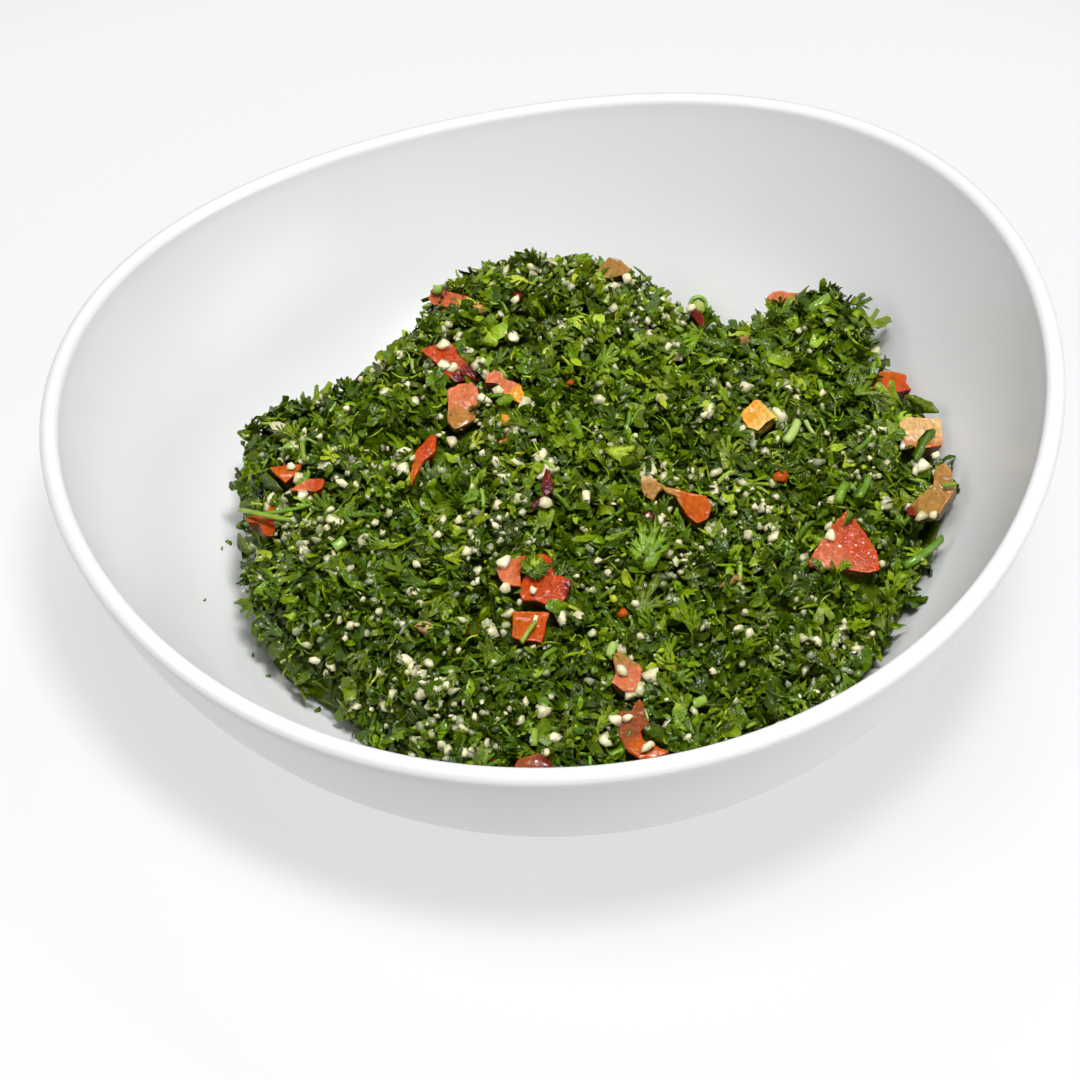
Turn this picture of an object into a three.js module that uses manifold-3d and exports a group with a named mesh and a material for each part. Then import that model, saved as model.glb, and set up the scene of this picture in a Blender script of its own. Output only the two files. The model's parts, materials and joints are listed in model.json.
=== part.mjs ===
// Tabbouleh salad in a white porcelain bowl whose egg-shaped rim rises towards one side.
// Millimetres, +Z up, foot on z = 0. Plan positions are measured from the middle of the foot,
// and the finished model is moved by FOOT_AT, so that its origin lies under the middle of the rim.
import * as THREE from 'three';
import { mergeVertices } from 'three/addons/utils/BufferGeometryUtils.js';
import Module from 'manifold-3d';

const wasm = await Module();
wasm.setup();

const DEGREE = Math.PI / 180;
const FOOT_AT = [-2.8, -1.0];

// ---------------------------------------------------------------- driving sizes: bowl
// A rim shape is its mean plus waves of one, two and three periods: [cosine, sine] parts.
const RIM_RADIUS = { mean: 97.8, waves: [[3.4, 2.2], [-0.3, -1.7], [-0.4, 1.1]] };
const RIM_HEIGHT = { mean: 57.4, waves: [[10.1, 5.5], [2.4, 2.4], [-0.6, 1.2]] };
const LIP_RADIUS = 1.9;
const BASE_RADIUS = 47.1; // where the curved wall starts, at the mean rim radius
const WALL_SWEEP = 72 * DEGREE; // how far the wall's arc turns between base and lip
const FOOT_HEIGHT = 2.5;
const FOOT_RING = { inner: 38.5, outer: 43.5, recess: 2.0 };
const FLOOR_HEIGHT = 6.2; // inner floor above the table
const WALL_INSET = 1.5; // the inner wall starts this far inside the outer one
const BOWL_SEGMENTS = 60;
const WALL_STEPS = 7;
const LIP_STEPS = 4;

// ---------------------------------------------------------------- driving sizes: salad
const HEAP_AT = [11.5, 0];
// The heap's reach from HEAP_AT, at equal angles round from +X.
const HEAP_REACH = [75, 74.5, 75.5, 74.5, 79, 77, 65.5, 77, 71, 69.5, 63.5, 75, 81, 79, 70.5, 69];
const HEAP_LEVEL = { height: 34.6, slopeX: -0.06, slopeY: 0.12 };
// Broad mounds and dips on that level: x, y, height, radius.
const HEAP_MOUNDS = [
  [6, 52, 6.5, 24],
  [65.5, 50, 20.5, 15],
  [39.5, 60, -14, 15],
  [-48.5, 30, -2.5, 20],
  [9.5, -8, 3, 26],
  [-22.5, 6, -5, 14],
  [79, 17, 2, 14],
];
const HEAP_EDGE = 1.6; // thickness at the very edge
const HEAP_GRID = 30;
const HEAP_BED_RINGS = [1, 0.8, 0.55, 0.28];
const CLUMPS = { count: 190, radius: [3.5, 6.5], height: [-2.8, 2.8] };
const GAP = 0.5; // between the salad and the bowl
const POCKET = 0.4; // room round each tomato piece

// Fused pieces: how many, and the smallest and largest sizes.
const LEAVES = { count: 56, size: [5, 8.5], thickness: 0.9 };
const SHREDS = { count: 30, length: [7, 11], width: 1.7, thickness: 1.0 };
const STEMS = { count: 8, length: [6, 11], radius: 0.9 };
const GRAINS = { count: 64, radius: [1.0, 1.4], stretch: [1.0, 1.7] };

// Tomato pieces: x, y, length, width, height, turn in degrees, narrowing of the far end (0 to 1),
// and how far the top stands above the packed leaves.
const TOMATO = [
  [-16, 60, 13, 5.5, 5, -25, 0.2, 1.5],
  [16.5, 68.5, 9, 7, 6, 15, 0.1, 2.5],
  [35.4, 66, 5, 5, 5, 30, 0.1, 2],
  [54, 59.5, 8, 6, 5, -10, 0.3, 3.5],
  [-16, 34, 11, 9, 6, -35, 0.7, 2],
  [-14, 22, 6.5, 8.5, 6, 5, 0.1, 2.5],
  [-4.5, 27, 9, 7, 6, -30, 0.4, 2],
  [-21, 9.5, 10, 5, 5, 65, 0.4, 2],
  [-48, 6.5, 7, 5.5, 5, 10, 0.1, 2],
  [-44.5, -1.5, 8, 4.5, 4, 20, 0.3, 1.5],
  [-53, -2, 7.4, 6.5, 6, -15, 0.1, 2],
  [46, 21, 7, 6.5, 6, 25, 0.1, 3],
  [74, 32.5, 8.5, 6, 5, -5, 0.2, 2],
  [78.5, 16, 9, 8, 6, 10, 0.0, 2.5],
  [79, -1.5, 11, 10, 7, 35, 0.2, 3],
  [61.5, -12, 15, 14.5, 8, 95, 0.85, 3.5],
  [31.5, -5.5, 7.5, 7, 6, -20, 0.1, 2.5],
  [23.5, -1, 5.6, 5.5, 5, 30, 0.1, 2],
  [-3.4, -24.5, 7, 7, 6, 40, 0.3, 2.5],
  [4.4, -29.5, 8.5, 6.5, 6, -10, 0.2, 2.5],
  [0, -37, 9, 6, 6, 5, 0.1, 2.5],
  [18.5, -45.5, 6, 8, 5, 20, 0.2, 1.5],
  [20, -60, 10, 11, 8, -15, 0.3, 2],
  [1, -66, 7.5, 6, 6, 0, 0.1, 2],
  [3, -4, 8, 3.4, 4, 75, 0.2, 1.5],
];
const TOMATO_COLOR = '#c8452b';

// ---------------------------------------------------------------- small helpers
// A seeded draw of numbers from 0 to 1.
function draws(seed) {
  let state = seed;
  return () => {
    state = (state * 1664525 + 1013904223) % 4294967296;
    return state / 4294967296;
  };
}

const mix = (range, share) => range[0] + (range[1] - range[0]) * share;
const clamp = (value, low, high) => Math.min(high, Math.max(low, value));

function around(shape, angle) {
  return shape.waves.reduce(
    (sum, [c, s], i) => sum + c * Math.cos((i + 1) * angle) + s * Math.sin((i + 1) * angle),
    shape.mean,
  );
}

function geometryOf(points, faces) {
  const geometry = new THREE.BufferGeometry();
  geometry.setAttribute('position', new THREE.Float32BufferAttribute(points.flat(), 3));
  geometry.setIndex(faces.flat());
  return geometry;
}

// ---------------------------------------------------------------- solids: join and cut
function solidOf(geometry, matrix = new THREE.Matrix4()) {
  const bare = geometry.clone();
  bare.deleteAttribute('normal');
  bare.deleteAttribute('uv');
  const merged = mergeVertices(bare.applyMatrix4(matrix), 1e-3);
  return new wasm.Manifold(new wasm.Mesh({
    numProp: 3,
    vertProperties: new Float32Array(merged.attributes.position.array),
    triVerts: new Uint32Array(merged.index.array),
  }));
}

// The largest body of a solid. Loose scraps and the walls of sealed hollows are left behind.
function mainBody(solid) {
  const bodies = solid.decompose();
  return bodies.reduce((best, body) => (body.volume() > best.volume() ? body : best));
}

function geometryOfSolid(solid) {
  const { vertProperties, triVerts } = solid.getMesh();
  const geometry = new THREE.BufferGeometry();
  geometry.setAttribute('position', new THREE.BufferAttribute(vertProperties, 3));
  geometry.setIndex(new THREE.BufferAttribute(triVerts, 1));
  return geometry;
}

// ---------------------------------------------------------------- bowl
// Along the wall, t runs from 0 at the base to 1 at the lip.
const wallOut = (t) => Math.sin(t * WALL_SWEEP) / Math.sin(WALL_SWEEP);
const wallUp = (t) => (1 - Math.cos(t * WALL_SWEEP)) / (1 - Math.cos(WALL_SWEEP));
const baseRadius = (angle) => BASE_RADIUS * Math.sqrt(around(RIM_RADIUS, angle) / RIM_RADIUS.mean);
const lipHeight = (angle) => around(RIM_HEIGHT, angle) - LIP_RADIUS;

function outerWall(angle, t) {
  const base = baseRadius(angle);
  const radius = base + (around(RIM_RADIUS, angle) - base) * wallOut(t) + LIP_RADIUS * t * t;
  return [radius, FOOT_HEIGHT + (lipHeight(angle) - FOOT_HEIGHT) * wallUp(t)];
}

function innerWall(angle, t) {
  const base = baseRadius(angle) - WALL_INSET;
  const radius = base + (around(RIM_RADIUS, angle) - LIP_RADIUS - base) * wallOut(t);
  return [radius, FLOOR_HEIGHT + (lipHeight(angle) - FLOOR_HEIGHT) * wallUp(t)];
}

// Height of the bowl's inner surface over a plan point.
function bowlFloor(x, y) {
  const angle = Math.atan2(y, x);
  const base = baseRadius(angle) - WALL_INSET;
  const span = around(RIM_RADIUS, angle) - LIP_RADIUS - base;
  const out = clamp((Math.hypot(x, y) - base) / span, 0, 1);
  return innerWall(angle, Math.asin(out * Math.sin(WALL_SWEEP)) / WALL_SWEEP)[1];
}

// The section at one angle as [radius, height], from the underside's middle round to the floor's.
function bowlSection(angle) {
  const section = [
    [FOOT_RING.inner, FOOT_RING.recess],
    [FOOT_RING.inner + 0.5, 0],
    [FOOT_RING.outer, 0],
    [FOOT_RING.outer + 0.8, FOOT_HEIGHT * 0.8],
  ];
  for (let i = 0; i <= WALL_STEPS; i++) section.push(outerWall(angle, i / WALL_STEPS));
  for (let i = 1; i < LIP_STEPS; i++) {
    const turn = (Math.PI * i) / LIP_STEPS;
    section.push([
      around(RIM_RADIUS, angle) + LIP_RADIUS * Math.cos(turn),
      lipHeight(angle) + LIP_RADIUS * Math.sin(turn),
    ]);
  }
  for (let i = WALL_STEPS; i >= 0; i--) section.push(innerWall(angle, i / WALL_STEPS));
  return section;
}

function bowlGeometry() {
  const points = [[0, 0, FOOT_RING.recess]];
  const faces = [];
  const rows = bowlSection(0).length;
  for (let i = 0; i < BOWL_SEGMENTS; i++) {
    const angle = (2 * Math.PI * i) / BOWL_SEGMENTS;
    for (const [radius, height] of bowlSection(angle)) {
      points.push([radius * Math.cos(angle), radius * Math.sin(angle), height]);
    }
  }
  points.push([0, 0, FLOOR_HEIGHT]);
  const top = points.length - 1;
  for (let i = 0; i < BOWL_SEGMENTS; i++) {
    const here = 1 + i * rows;
    const next = 1 + ((i + 1) % BOWL_SEGMENTS) * rows;
    faces.push([0, next, here]);
    for (let j = 0; j < rows - 1; j++) {
      faces.push([here + j, next + j, next + j + 1], [here + j, next + j + 1, here + j + 1]);
    }
    faces.push([here + rows - 1, next + rows - 1, top]);
  }
  return geometryOf(points, faces);
}

// ---------------------------------------------------------------- salad heap: form
// A smooth closed curve through HEAP_REACH.
function heapReach(angle) {
  const n = HEAP_REACH.length;
  const place = (((angle / (2 * Math.PI)) * n) % n + n) % n;
  const i = Math.floor(place);
  const f = place - i;
  const [a, b, c, d] = [i - 1, i, i + 1, i + 2].map((k) => HEAP_REACH[(k + n) % n]);
  return b + 0.5 * f * (c - a + f * (2 * a - 5 * b + 4 * c - d + f * (3 * (b - c) + d - a)));
}

function heapPoint(angle, share) {
  const reach = heapReach(angle) * share;
  return [HEAP_AT[0] + reach * Math.cos(angle), HEAP_AT[1] + reach * Math.sin(angle)];
}

const clumpDraw = draws(11);
const clumps = Array.from({ length: CLUMPS.count }, () => {
  const [x, y] = heapPoint(2 * Math.PI * clumpDraw(), Math.sqrt(clumpDraw()));
  return [x, y, mix(CLUMPS.height, clumpDraw()), mix(CLUMPS.radius, clumpDraw())];
});

function mounds(list, x, y) {
  return list.reduce(
    (sum, [mx, my, height, radius]) =>
      sum + height * Math.exp(-((x - mx) ** 2 + (y - my) ** 2) / radius ** 2),
    0,
  );
}

// The underside follows the bowl, GAP away from it.
function heapBed(x, y) {
  const radius = Math.max(Math.hypot(x, y), 1);
  const shift = (radius + GAP) / radius;
  return bowlFloor(x * shift, y * shift) + GAP;
}

// The packed leaves' surface, which falls steeply to a thin edge.
function heapTop(x, y, relief = true) {
  const [dx, dy] = [x - HEAP_AT[0], y - HEAP_AT[1]];
  const share = Math.min(1, Math.hypot(dx, dy) / heapReach(Math.atan2(dy, dx)));
  const bed = heapBed(x, y) + HEAP_EDGE;
  const level = HEAP_LEVEL.height + HEAP_LEVEL.slopeX * x + HEAP_LEVEL.slopeY * y;
  const bumps = mounds(HEAP_MOUNDS, x, y) + (relief ? mounds(clumps, x, y) : 0);
  return bed + Math.max(level + bumps - bed, 0) * (1 - share ** 8) ** 0.6;
}

// A square grid bent into the footprint, with a coarser underside hung from the same border.
function heapCore() {
  const n = HEAP_GRID;
  const points = [];
  const faces = [];
  const angles = new Map();
  for (let j = 0; j <= n; j++) {
    for (let i = 0; i <= n; i++) {
      const [a, b] = [(2 * i) / n - 1, (2 * j) / n - 1];
      const [u, v] = [a * Math.sqrt(1 - (b * b) / 2), b * Math.sqrt(1 - (a * a) / 2)];
      const angle = Math.atan2(v, u);
      const [x, y] = heapPoint(angle, Math.hypot(u, v));
      angles.set(points.length, angle);
      points.push([x, y, heapTop(x, y)]);
    }
  }
  const at = (i, j) => j * (n + 1) + i;
  for (let j = 0; j < n; j++) {
    for (let i = 0; i < n; i++) {
      const [p, q, r, s] = [at(i, j), at(i + 1, j), at(i + 1, j + 1), at(i, j + 1)];
      const flip = (i < n / 2) === (j < n / 2);
      if (flip) faces.push([p, q, r], [p, r, s]);
      else faces.push([p, q, s], [q, r, s]);
    }
  }
  const border = [];
  for (let i = 0; i < n; i++) border.push(at(i, 0));
  for (let j = 0; j < n; j++) border.push(at(n, j));
  for (let i = n; i > 0; i--) border.push(at(i, n));
  for (let j = n; j > 0; j--) border.push(at(0, j));
  let ring = border;
  for (const share of HEAP_BED_RINGS) {
    const lower = border.map((k) => {
      const [x, y] = heapPoint(angles.get(k), share);
      return points.push([x, y, heapBed(x, y)]) - 1;
    });
    ring.forEach((p, k) => {
      const m = (k + 1) % ring.length;
      faces.push([p, lower[k], lower[m]], [p, lower[m], ring[m]]);
    });
    ring = lower;
  }
  const middle = points.push([...HEAP_AT, heapBed(...HEAP_AT)]) - 1;
  ring.forEach((p, k) => faces.push([p, middle, ring[(k + 1) % ring.length]]));
  return solidOf(geometryOf(points, faces));
}

// ---------------------------------------------------------------- salad heap: pieces
// A thin wavy plate with the same triangles on both faces.
function plate(outline, thickness, wave) {
  const points = [];
  for (const side of [0.5, -0.5]) {
    points.push([0, 0, side * thickness]);
    for (const [x, y] of outline) points.push([x, y, side * thickness + wave(x, y)]);
  }
  const n = outline.length;
  const faces = [];
  for (let i = 0; i < n; i++) {
    const [a, b] = [1 + i, 1 + ((i + 1) % n)];
    const [c, d] = [a + n + 1, b + n + 1];
    faces.push([0, a, b], [n + 1, d, c], [a, c, d], [a, d, b]);
  }
  return geometryOf(points, faces);
}

// A chopped leaf tip with three lobes.
function leafGeometry(size, draw) {
  const lobes = [0.3, 0.55, 1, 0.6, 1.1, 0.6, 0.95, 0.5];
  const outline = lobes.map((reach, i) => {
    const angle = (i / lobes.length) * 2 * Math.PI + Math.PI;
    const radius = size * 0.55 * reach * (0.85 + 0.3 * draw());
    return [radius * Math.cos(angle), radius * Math.sin(angle)];
  });
  const bend = 0.16 * (draw() - 0.3);
  return plate(outline, LEAVES.thickness, (x, y) => bend * x * x * 0.5 + 0.5 * Math.sin(y * 1.3));
}

// A narrow curved strip.
function shredGeometry(length, draw) {
  const steps = 3;
  const half = SHREDS.width / 2;
  const bow = 0.25 * (draw() - 0.5);
  const points = [];
  const faces = [];
  for (let i = 0; i <= steps; i++) {
    const x = length * (i / steps - 0.5);
    const [y, z] = [bow * x * x * 0.4, Math.sin(x * 0.7) * 0.5];
    const lift = SHREDS.thickness / 2;
    points.push([x, y - half, z - lift], [x, y + half, z - lift]);
    points.push([x, y + half, z + lift], [x, y - half, z + lift]);
  }
  for (let i = 0; i < steps; i++) {
    for (let k = 0; k < 4; k++) {
      const [a, b] = [i * 4 + k, i * 4 + ((k + 1) % 4)];
      faces.push([a, b, b + 4], [a, b + 4, a + 4]);
    }
  }
  const last = steps * 4;
  faces.push([0, 2, 1], [0, 3, 2], [last, last + 1, last + 2], [last, last + 2, last + 3]);
  return geometryOf(points, faces);
}

function grainGeometry(draw) {
  const radius = mix(GRAINS.radius, draw());
  return new THREE.IcosahedronGeometry(radius, 0).scale(mix(GRAINS.stretch, draw()), 1, 0.9);
}

function stemGeometry(draw) {
  const length = mix(STEMS.length, draw());
  return new THREE.CylinderGeometry(STEMS.radius, STEMS.radius, length, 5).rotateZ(Math.PI / 2);
}

// Evenly spread places on the footprint, by the golden angle.
function spreadPlace(index, count, shift) {
  const golden = Math.PI * (3 - Math.sqrt(5));
  return heapPoint(index * golden + shift, 0.97 * Math.sqrt((index + 0.5) / count));
}

// True where every corner of a piece keeps its distance from the bowl.
function clearsBowl(geometry, matrix) {
  const corners = geometry.attributes.position;
  const corner = new THREE.Vector3();
  for (let i = 0; i < corners.count; i++) {
    corner.fromBufferAttribute(corners, i).applyMatrix4(matrix);
    if (corner.z < heapBed(corner.x, corner.y)) return false;
  }
  return true;
}

// Sets out one kind of piece, leaving out those that would cross the bowl or a tomato piece.
function scatter({ count, seed, make, lean, lift, keepOff }) {
  const draw = draws(seed);
  const solids = [];
  for (let i = 0; i < count; i++) {
    const [x, y] = spreadPlace(i, count, seed);
    const geometry = make(draw);
    const turn = new THREE.Euler(lean * (draw() - 0.5), lean * (draw() - 0.5), 2 * Math.PI * draw());
    const matrix = new THREE.Matrix4().makeRotationFromEuler(turn);
    matrix.setPosition(x, y, heapTop(x, y) + lift);
    const solid = solidOf(geometry, matrix);
    const blocked = keepOff.some((other) => solid.intersect(other).volume() > 0);
    if (!blocked && clearsBowl(geometry, matrix)) solids.push(solid);
  }
  return solids;
}

// ---------------------------------------------------------------- tomato
// Bends a box's corners, given from -1 to 1, into an uneven block that narrows towards +X.
function tomatoCorner(corner, half, narrowing) {
  corner.y *= 1 - narrowing * (corner.x + 1) * 0.5;
  corner.x += 0.12 * corner.z;
  return corner.multiply(half);
}

function tomatoBlock([, , length, width, height, , narrowing], segments, room, shape) {
  const block = new THREE.BoxGeometry(2, 2, 2, segments, segments, segments);
  block.deleteAttribute('normal');
  block.deleteAttribute('uv');
  const geometry = mergeVertices(block);
  const half = new THREE.Vector3(length, width, height).multiplyScalar(0.5).addScalar(room);
  const corners = geometry.attributes.position;
  for (let i = 0; i < corners.count; i++) {
    const corner = shape(new THREE.Vector3().fromBufferAttribute(corners, i));
    corners.setXYZ(i, ...tomatoCorner(corner, half, narrowing));
  }
  return geometry;
}

// One diced piece, with rounded corners and uneven faces.
function tomatoGeometry(spec, seed) {
  const draw = draws(seed);
  return tomatoBlock(spec, 2, 0, (corner) => {
    const roundness = (corner.x ** 4 + corner.y ** 4 + corner.z ** 4) ** 0.25;
    return corner.divideScalar(roundness).multiplyScalar(0.92 + 0.08 * draw());
  });
}

// The square-cornered hollow in the heap that one piece sits in.
const pocketGeometry = (spec) => tomatoBlock(spec, 1, POCKET, (corner) => corner);

// The place of one piece: sunk into the heap, and lifted where the bowl's wall is near.
function tomatoMatrix(spec, index) {
  const [x, y, , , height, turn, , rise] = spec;
  const draw = draws(300 + index);
  const lean = new THREE.Euler(0.5 * (draw() - 0.5), 0.5 * (draw() - 0.5), turn * DEGREE);
  const matrix = new THREE.Matrix4().makeRotationFromEuler(lean);
  matrix.setPosition(x, y, heapTop(x, y, false) + rise - height / 2);
  const corners = tomatoGeometry(spec, index).attributes.position;
  const corner = new THREE.Vector3();
  let lift = 0;
  for (let i = 0; i < corners.count; i++) {
    corner.fromBufferAttribute(corners, i).applyMatrix4(matrix);
    lift = Math.max(lift, heapBed(corner.x, corner.y) - corner.z);
  }
  matrix.elements[14] += lift;
  return matrix;
}

// ---------------------------------------------------------------- model
const porcelain = new THREE.MeshStandardMaterial({ color: '#f1f2f1', roughness: 0.12 });
const herbs = new THREE.MeshStandardMaterial({ color: '#2f5a1c', roughness: 0.4 });
const tomatoFlesh = new THREE.MeshStandardMaterial({ color: TOMATO_COLOR, roughness: 0.3 });

function named(name, geometry, material) {
  const mesh = new THREE.Mesh(geometry, material);
  mesh.name = name;
  return mesh;
}

const model = new THREE.Group();
model.position.set(FOOT_AT[0], FOOT_AT[1], 0);
model.add(named('bowl', bowlGeometry(), porcelain));

const pockets = TOMATO.map((spec, i) => {
  const matrix = tomatoMatrix(spec, i + 1);
  const name = `tomato_dice_${String(i + 1).padStart(2, '0')}`;
  const piece = named(name, tomatoGeometry(spec, i + 1), tomatoFlesh);
  piece.applyMatrix4(matrix);
  model.add(piece);
  return solidOf(pocketGeometry(spec), matrix);
});

function saladSolid() {
  const core = pockets.reduce((rest, pocket) => rest.subtract(pocket), heapCore());
  const kinds = [
    { ...LEAVES, seed: 21, lean: 1.7, lift: 1.3, make: (draw) => leafGeometry(mix(LEAVES.size, draw()), draw) },
    { ...SHREDS, seed: 22, lean: 1.1, lift: 0.8, make: (draw) => shredGeometry(mix(SHREDS.length, draw()), draw) },
    { ...STEMS, seed: 23, lean: 0.8, lift: 0.5, make: stemGeometry },
    { ...GRAINS, seed: 24, lean: 2.0, lift: 0.7, make: grainGeometry },
  ];
  const pieces = kinds.flatMap((kind) => scatter({ ...kind, keepOff: pockets }));
  return mainBody(pieces.reduce((whole, piece) => whole.add(piece), core));
}

model.add(named('tabbouleh', geometryOfSolid(saladSolid()), herbs));

export default model;
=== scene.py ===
"""Tabbouleh salad in a white porcelain bowl: chopped parsley, bulgur and diced tomato.

Sizes are worked in millimetres, measured from the middle of the bowl's foot. The function place()
turns them into the frame's metres. Every piece rides on the one body, "root".
"""
import json
import math
import random
from collections import namedtuple

import bmesh
import bpy
import numpy as np
from mathutils import Matrix, Vector, noise

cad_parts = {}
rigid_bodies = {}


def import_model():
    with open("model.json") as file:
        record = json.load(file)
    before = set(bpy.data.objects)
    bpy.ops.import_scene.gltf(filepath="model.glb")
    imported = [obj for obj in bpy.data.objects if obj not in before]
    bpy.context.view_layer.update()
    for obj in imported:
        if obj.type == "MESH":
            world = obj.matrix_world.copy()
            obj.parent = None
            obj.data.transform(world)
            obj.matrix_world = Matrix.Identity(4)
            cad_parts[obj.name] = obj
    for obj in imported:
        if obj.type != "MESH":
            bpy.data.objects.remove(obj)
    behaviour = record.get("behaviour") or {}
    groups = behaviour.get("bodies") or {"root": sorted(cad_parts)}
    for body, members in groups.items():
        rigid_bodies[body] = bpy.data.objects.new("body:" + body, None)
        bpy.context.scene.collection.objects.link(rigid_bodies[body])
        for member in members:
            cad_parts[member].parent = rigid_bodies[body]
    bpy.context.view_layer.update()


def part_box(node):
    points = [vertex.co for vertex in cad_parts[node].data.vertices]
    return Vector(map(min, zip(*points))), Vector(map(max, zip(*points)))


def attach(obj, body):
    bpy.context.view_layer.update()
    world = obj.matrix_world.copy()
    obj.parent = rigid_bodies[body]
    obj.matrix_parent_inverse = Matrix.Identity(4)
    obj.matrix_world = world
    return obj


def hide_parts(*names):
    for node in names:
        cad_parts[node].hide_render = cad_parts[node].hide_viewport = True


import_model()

MM = 0.001
FOOT_AT = (-2.8, -1.0)
TURN = 2 * math.pi

# ---- sizes: bowl
# A rim shape is its mean plus waves of one, two and three periods: (cosine, sine) parts.
RIM_RADIUS = (97.8, ((3.4, 2.2), (-0.3, -1.7), (-0.4, 1.1)))
RIM_HEIGHT = (57.4, ((10.1, 5.5), (2.4, 2.4), (-0.6, 1.2)))
LIP_RADIUS = 1.9
BASE_RADIUS = 47.1
WALL_SWEEP = math.radians(72)
FOOT_HEIGHT = 2.5
FOOT_INNER = 38.5
FOOT_OUTER = 43.5
FOOT_RECESS = 2.0
FOOT_INNER_ROUND = 0.9
FOOT_OUTER_ROUND = 0.6
FLOOR_HEIGHT = 6.2
WALL_INSET = 1.5
BOWL_SEGMENTS = 200
WALL_STEPS = 30
LIP_STEPS = 12

# ---- sizes: salad
HEAP_AT = (11.5, 0.0)
HEAP_REACH = (75, 74.5, 75.5, 74.5, 79, 77, 65.5, 77, 71, 69.5, 63.5, 75, 81, 79, 70.5, 69)
HEAP_LEVEL = (34.6, -0.06, 0.12)
# Broad mounds and dips: x, y, height, radius.
HEAP_MOUNDS = (
    (6, 52, 6.5, 24), (65.5, 50, 20.5, 15), (39.5, 60, -14, 15), (-48.5, 30, -2.5, 20), (9.5, -8, 3, 26),
    (-22.5, 6, -5, 14), (79, 17, 2, 14), (-33, 51, -5, 12), (-48, 37, -4, 10), (14, 70, -2, 16),
    (41, 46, 3, 7), (69, 45, 5, 7), (-57, 21, 2.5, 6), (-40, 33, -2.5, 7),
)
HEAP_EDGE = 1.6
CLUMP_COUNT = 190
CLUMP_RADIUS = (3.5, 6.5)
CLUMP_HEIGHT = (-2.8, 2.8)
# Dark hollows between the tufts: x, y, depth, radius.
HOLLOW_DEEPENING = 1.6
HOLLOWS = (
    (-12, -33, -5, 4), (-18, -45, -4, 3.5), (7, -14, -5, 4), (30, 8, -4, 3.5), (12, 2, -4, 3.2),
    (-32, 14, -4, 3.5), (48, -30, -4, 3.5), (30, 36, -4, 3.5), (-30, -20, -4, 3.2), (22, 30, -3.5, 3),
    (58, 6, -3.5, 3.2), (10, -52, -4, 3), (41, -48, -4, 3.2), (-44, 20, -3.5, 3), (66, -26, -3.5, 3),
    (2, 44, -3.5, 3),
)
# Where bulgur has gathered: x, y, radius.
GRAIN_NESTS = (
    (-46, -14, 7), (-20, -48, 8), (-10, 16, 10), (-24, 30, 7), (-40, 2, 7), (30, 4, 7), (18, 48, 8),
    (50, 22, 7), (-8, -16, 7), (28, -22, 9), (-12, -60, 8), (44, -10, 7), (26, 62, 7), (2, 62, 8),
    (-6, -44, 7), (56, -40, 8), (-30, -34, 7), (66, 8, 6),
)
GAP = 0.5
TOMATO_GAP = 0.2
LOOSE_GAP = 0.25
SURFACE_GRID = 150
# How far out the loose leaves are rooted, as a share of the heap's reach: mean and waves.
COVER_SHARE = (0.965, ((0.0, -0.03), (0.0, 0.012)))
CORE_INSET = 0.02
CORE_SINK = 2.6
CORE_THINNEST = 0.4
TUFT_SIZE = 3.2
TUFT_HEIGHT = 1.1
CREVICE_SPACING = 9
CREVICE_WIDTH = 0.13
CREVICE_DEPTH = 3.4
# The share of a crevice's depth that loose pieces sink into it, and the shares of them that
# crevices and hollows keep off.
CREVICE_SINK = 0.8
CREVICE_BARE = 0.8
HOLLOW_BARE = 0.75
# The least share of grains, on a tomato piece and away from the nests.
GRAINS_ON_TOMATO = 0.15
GRAINS_APART = 0.14
BED_RINGS = (1.0, 0.8, 0.5, 0.2)

# ---- sizes: view
CAMERA_DISTANCE = 620
CAMERA_ELEVATION = math.radians(40)
CAMERA_TARGET = (0, 0, 30)
FOCAL_PIXELS = 3100
FRAME_PIXELS = 1080
SENSOR = 36
TARGET_PIXEL = (530.7, 500.2)
VIEW_RIGHT = Vector((1, 0, 0))
VIEW_UP = Vector((0, math.sin(CAMERA_ELEVATION), math.cos(CAMERA_ELEVATION)))
VIEW_IN = Vector((0, math.cos(CAMERA_ELEVATION), -math.sin(CAMERA_ELEVATION)))
# How much of an upright length the view shows.
UPRIGHT_SEEN = 0.77


def place(x, y, z=0.0):
    """A point given in millimetres from the foot's middle, in the frame's metres."""
    return Vector(((x + FOOT_AT[0]) * MM, (y + FOOT_AT[1]) * MM, z * MM))


def clamped(value):
    """The value, kept between 0 and 1."""
    return min(1, max(0, value))


def around(shape, angle):
    mean, waves = shape
    total = mean + 0 * angle
    for k, (c, s) in enumerate(waves, start=1):
        total = total + c * np.cos(k * angle) + s * np.sin(k * angle)
    return total


# ---- bowl: form
def bowl_floor(x, y):
    """Height of the bowl's inner surface over a plan point."""
    angle = np.arctan2(y, x)
    rim = around(RIM_RADIUS, angle)
    base = BASE_RADIUS * np.sqrt(rim / RIM_RADIUS[0]) - WALL_INSET
    out = np.clip((np.hypot(x, y) - base) / (rim - LIP_RADIUS - base), 0, 1)
    turn = np.arcsin(out * math.sin(WALL_SWEEP))
    up = (1 - np.cos(turn)) / (1 - math.cos(WALL_SWEEP))
    return FLOOR_HEIGHT + (around(RIM_HEIGHT, angle) - LIP_RADIUS - FLOOR_HEIGHT) * up


# ---- heap: form
def draws(state):
    """A seeded stream of numbers from 0 to 1."""
    while True:
        state = (state * 1664525 + 1013904223) % 4294967296
        yield state / 4294967296


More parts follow.
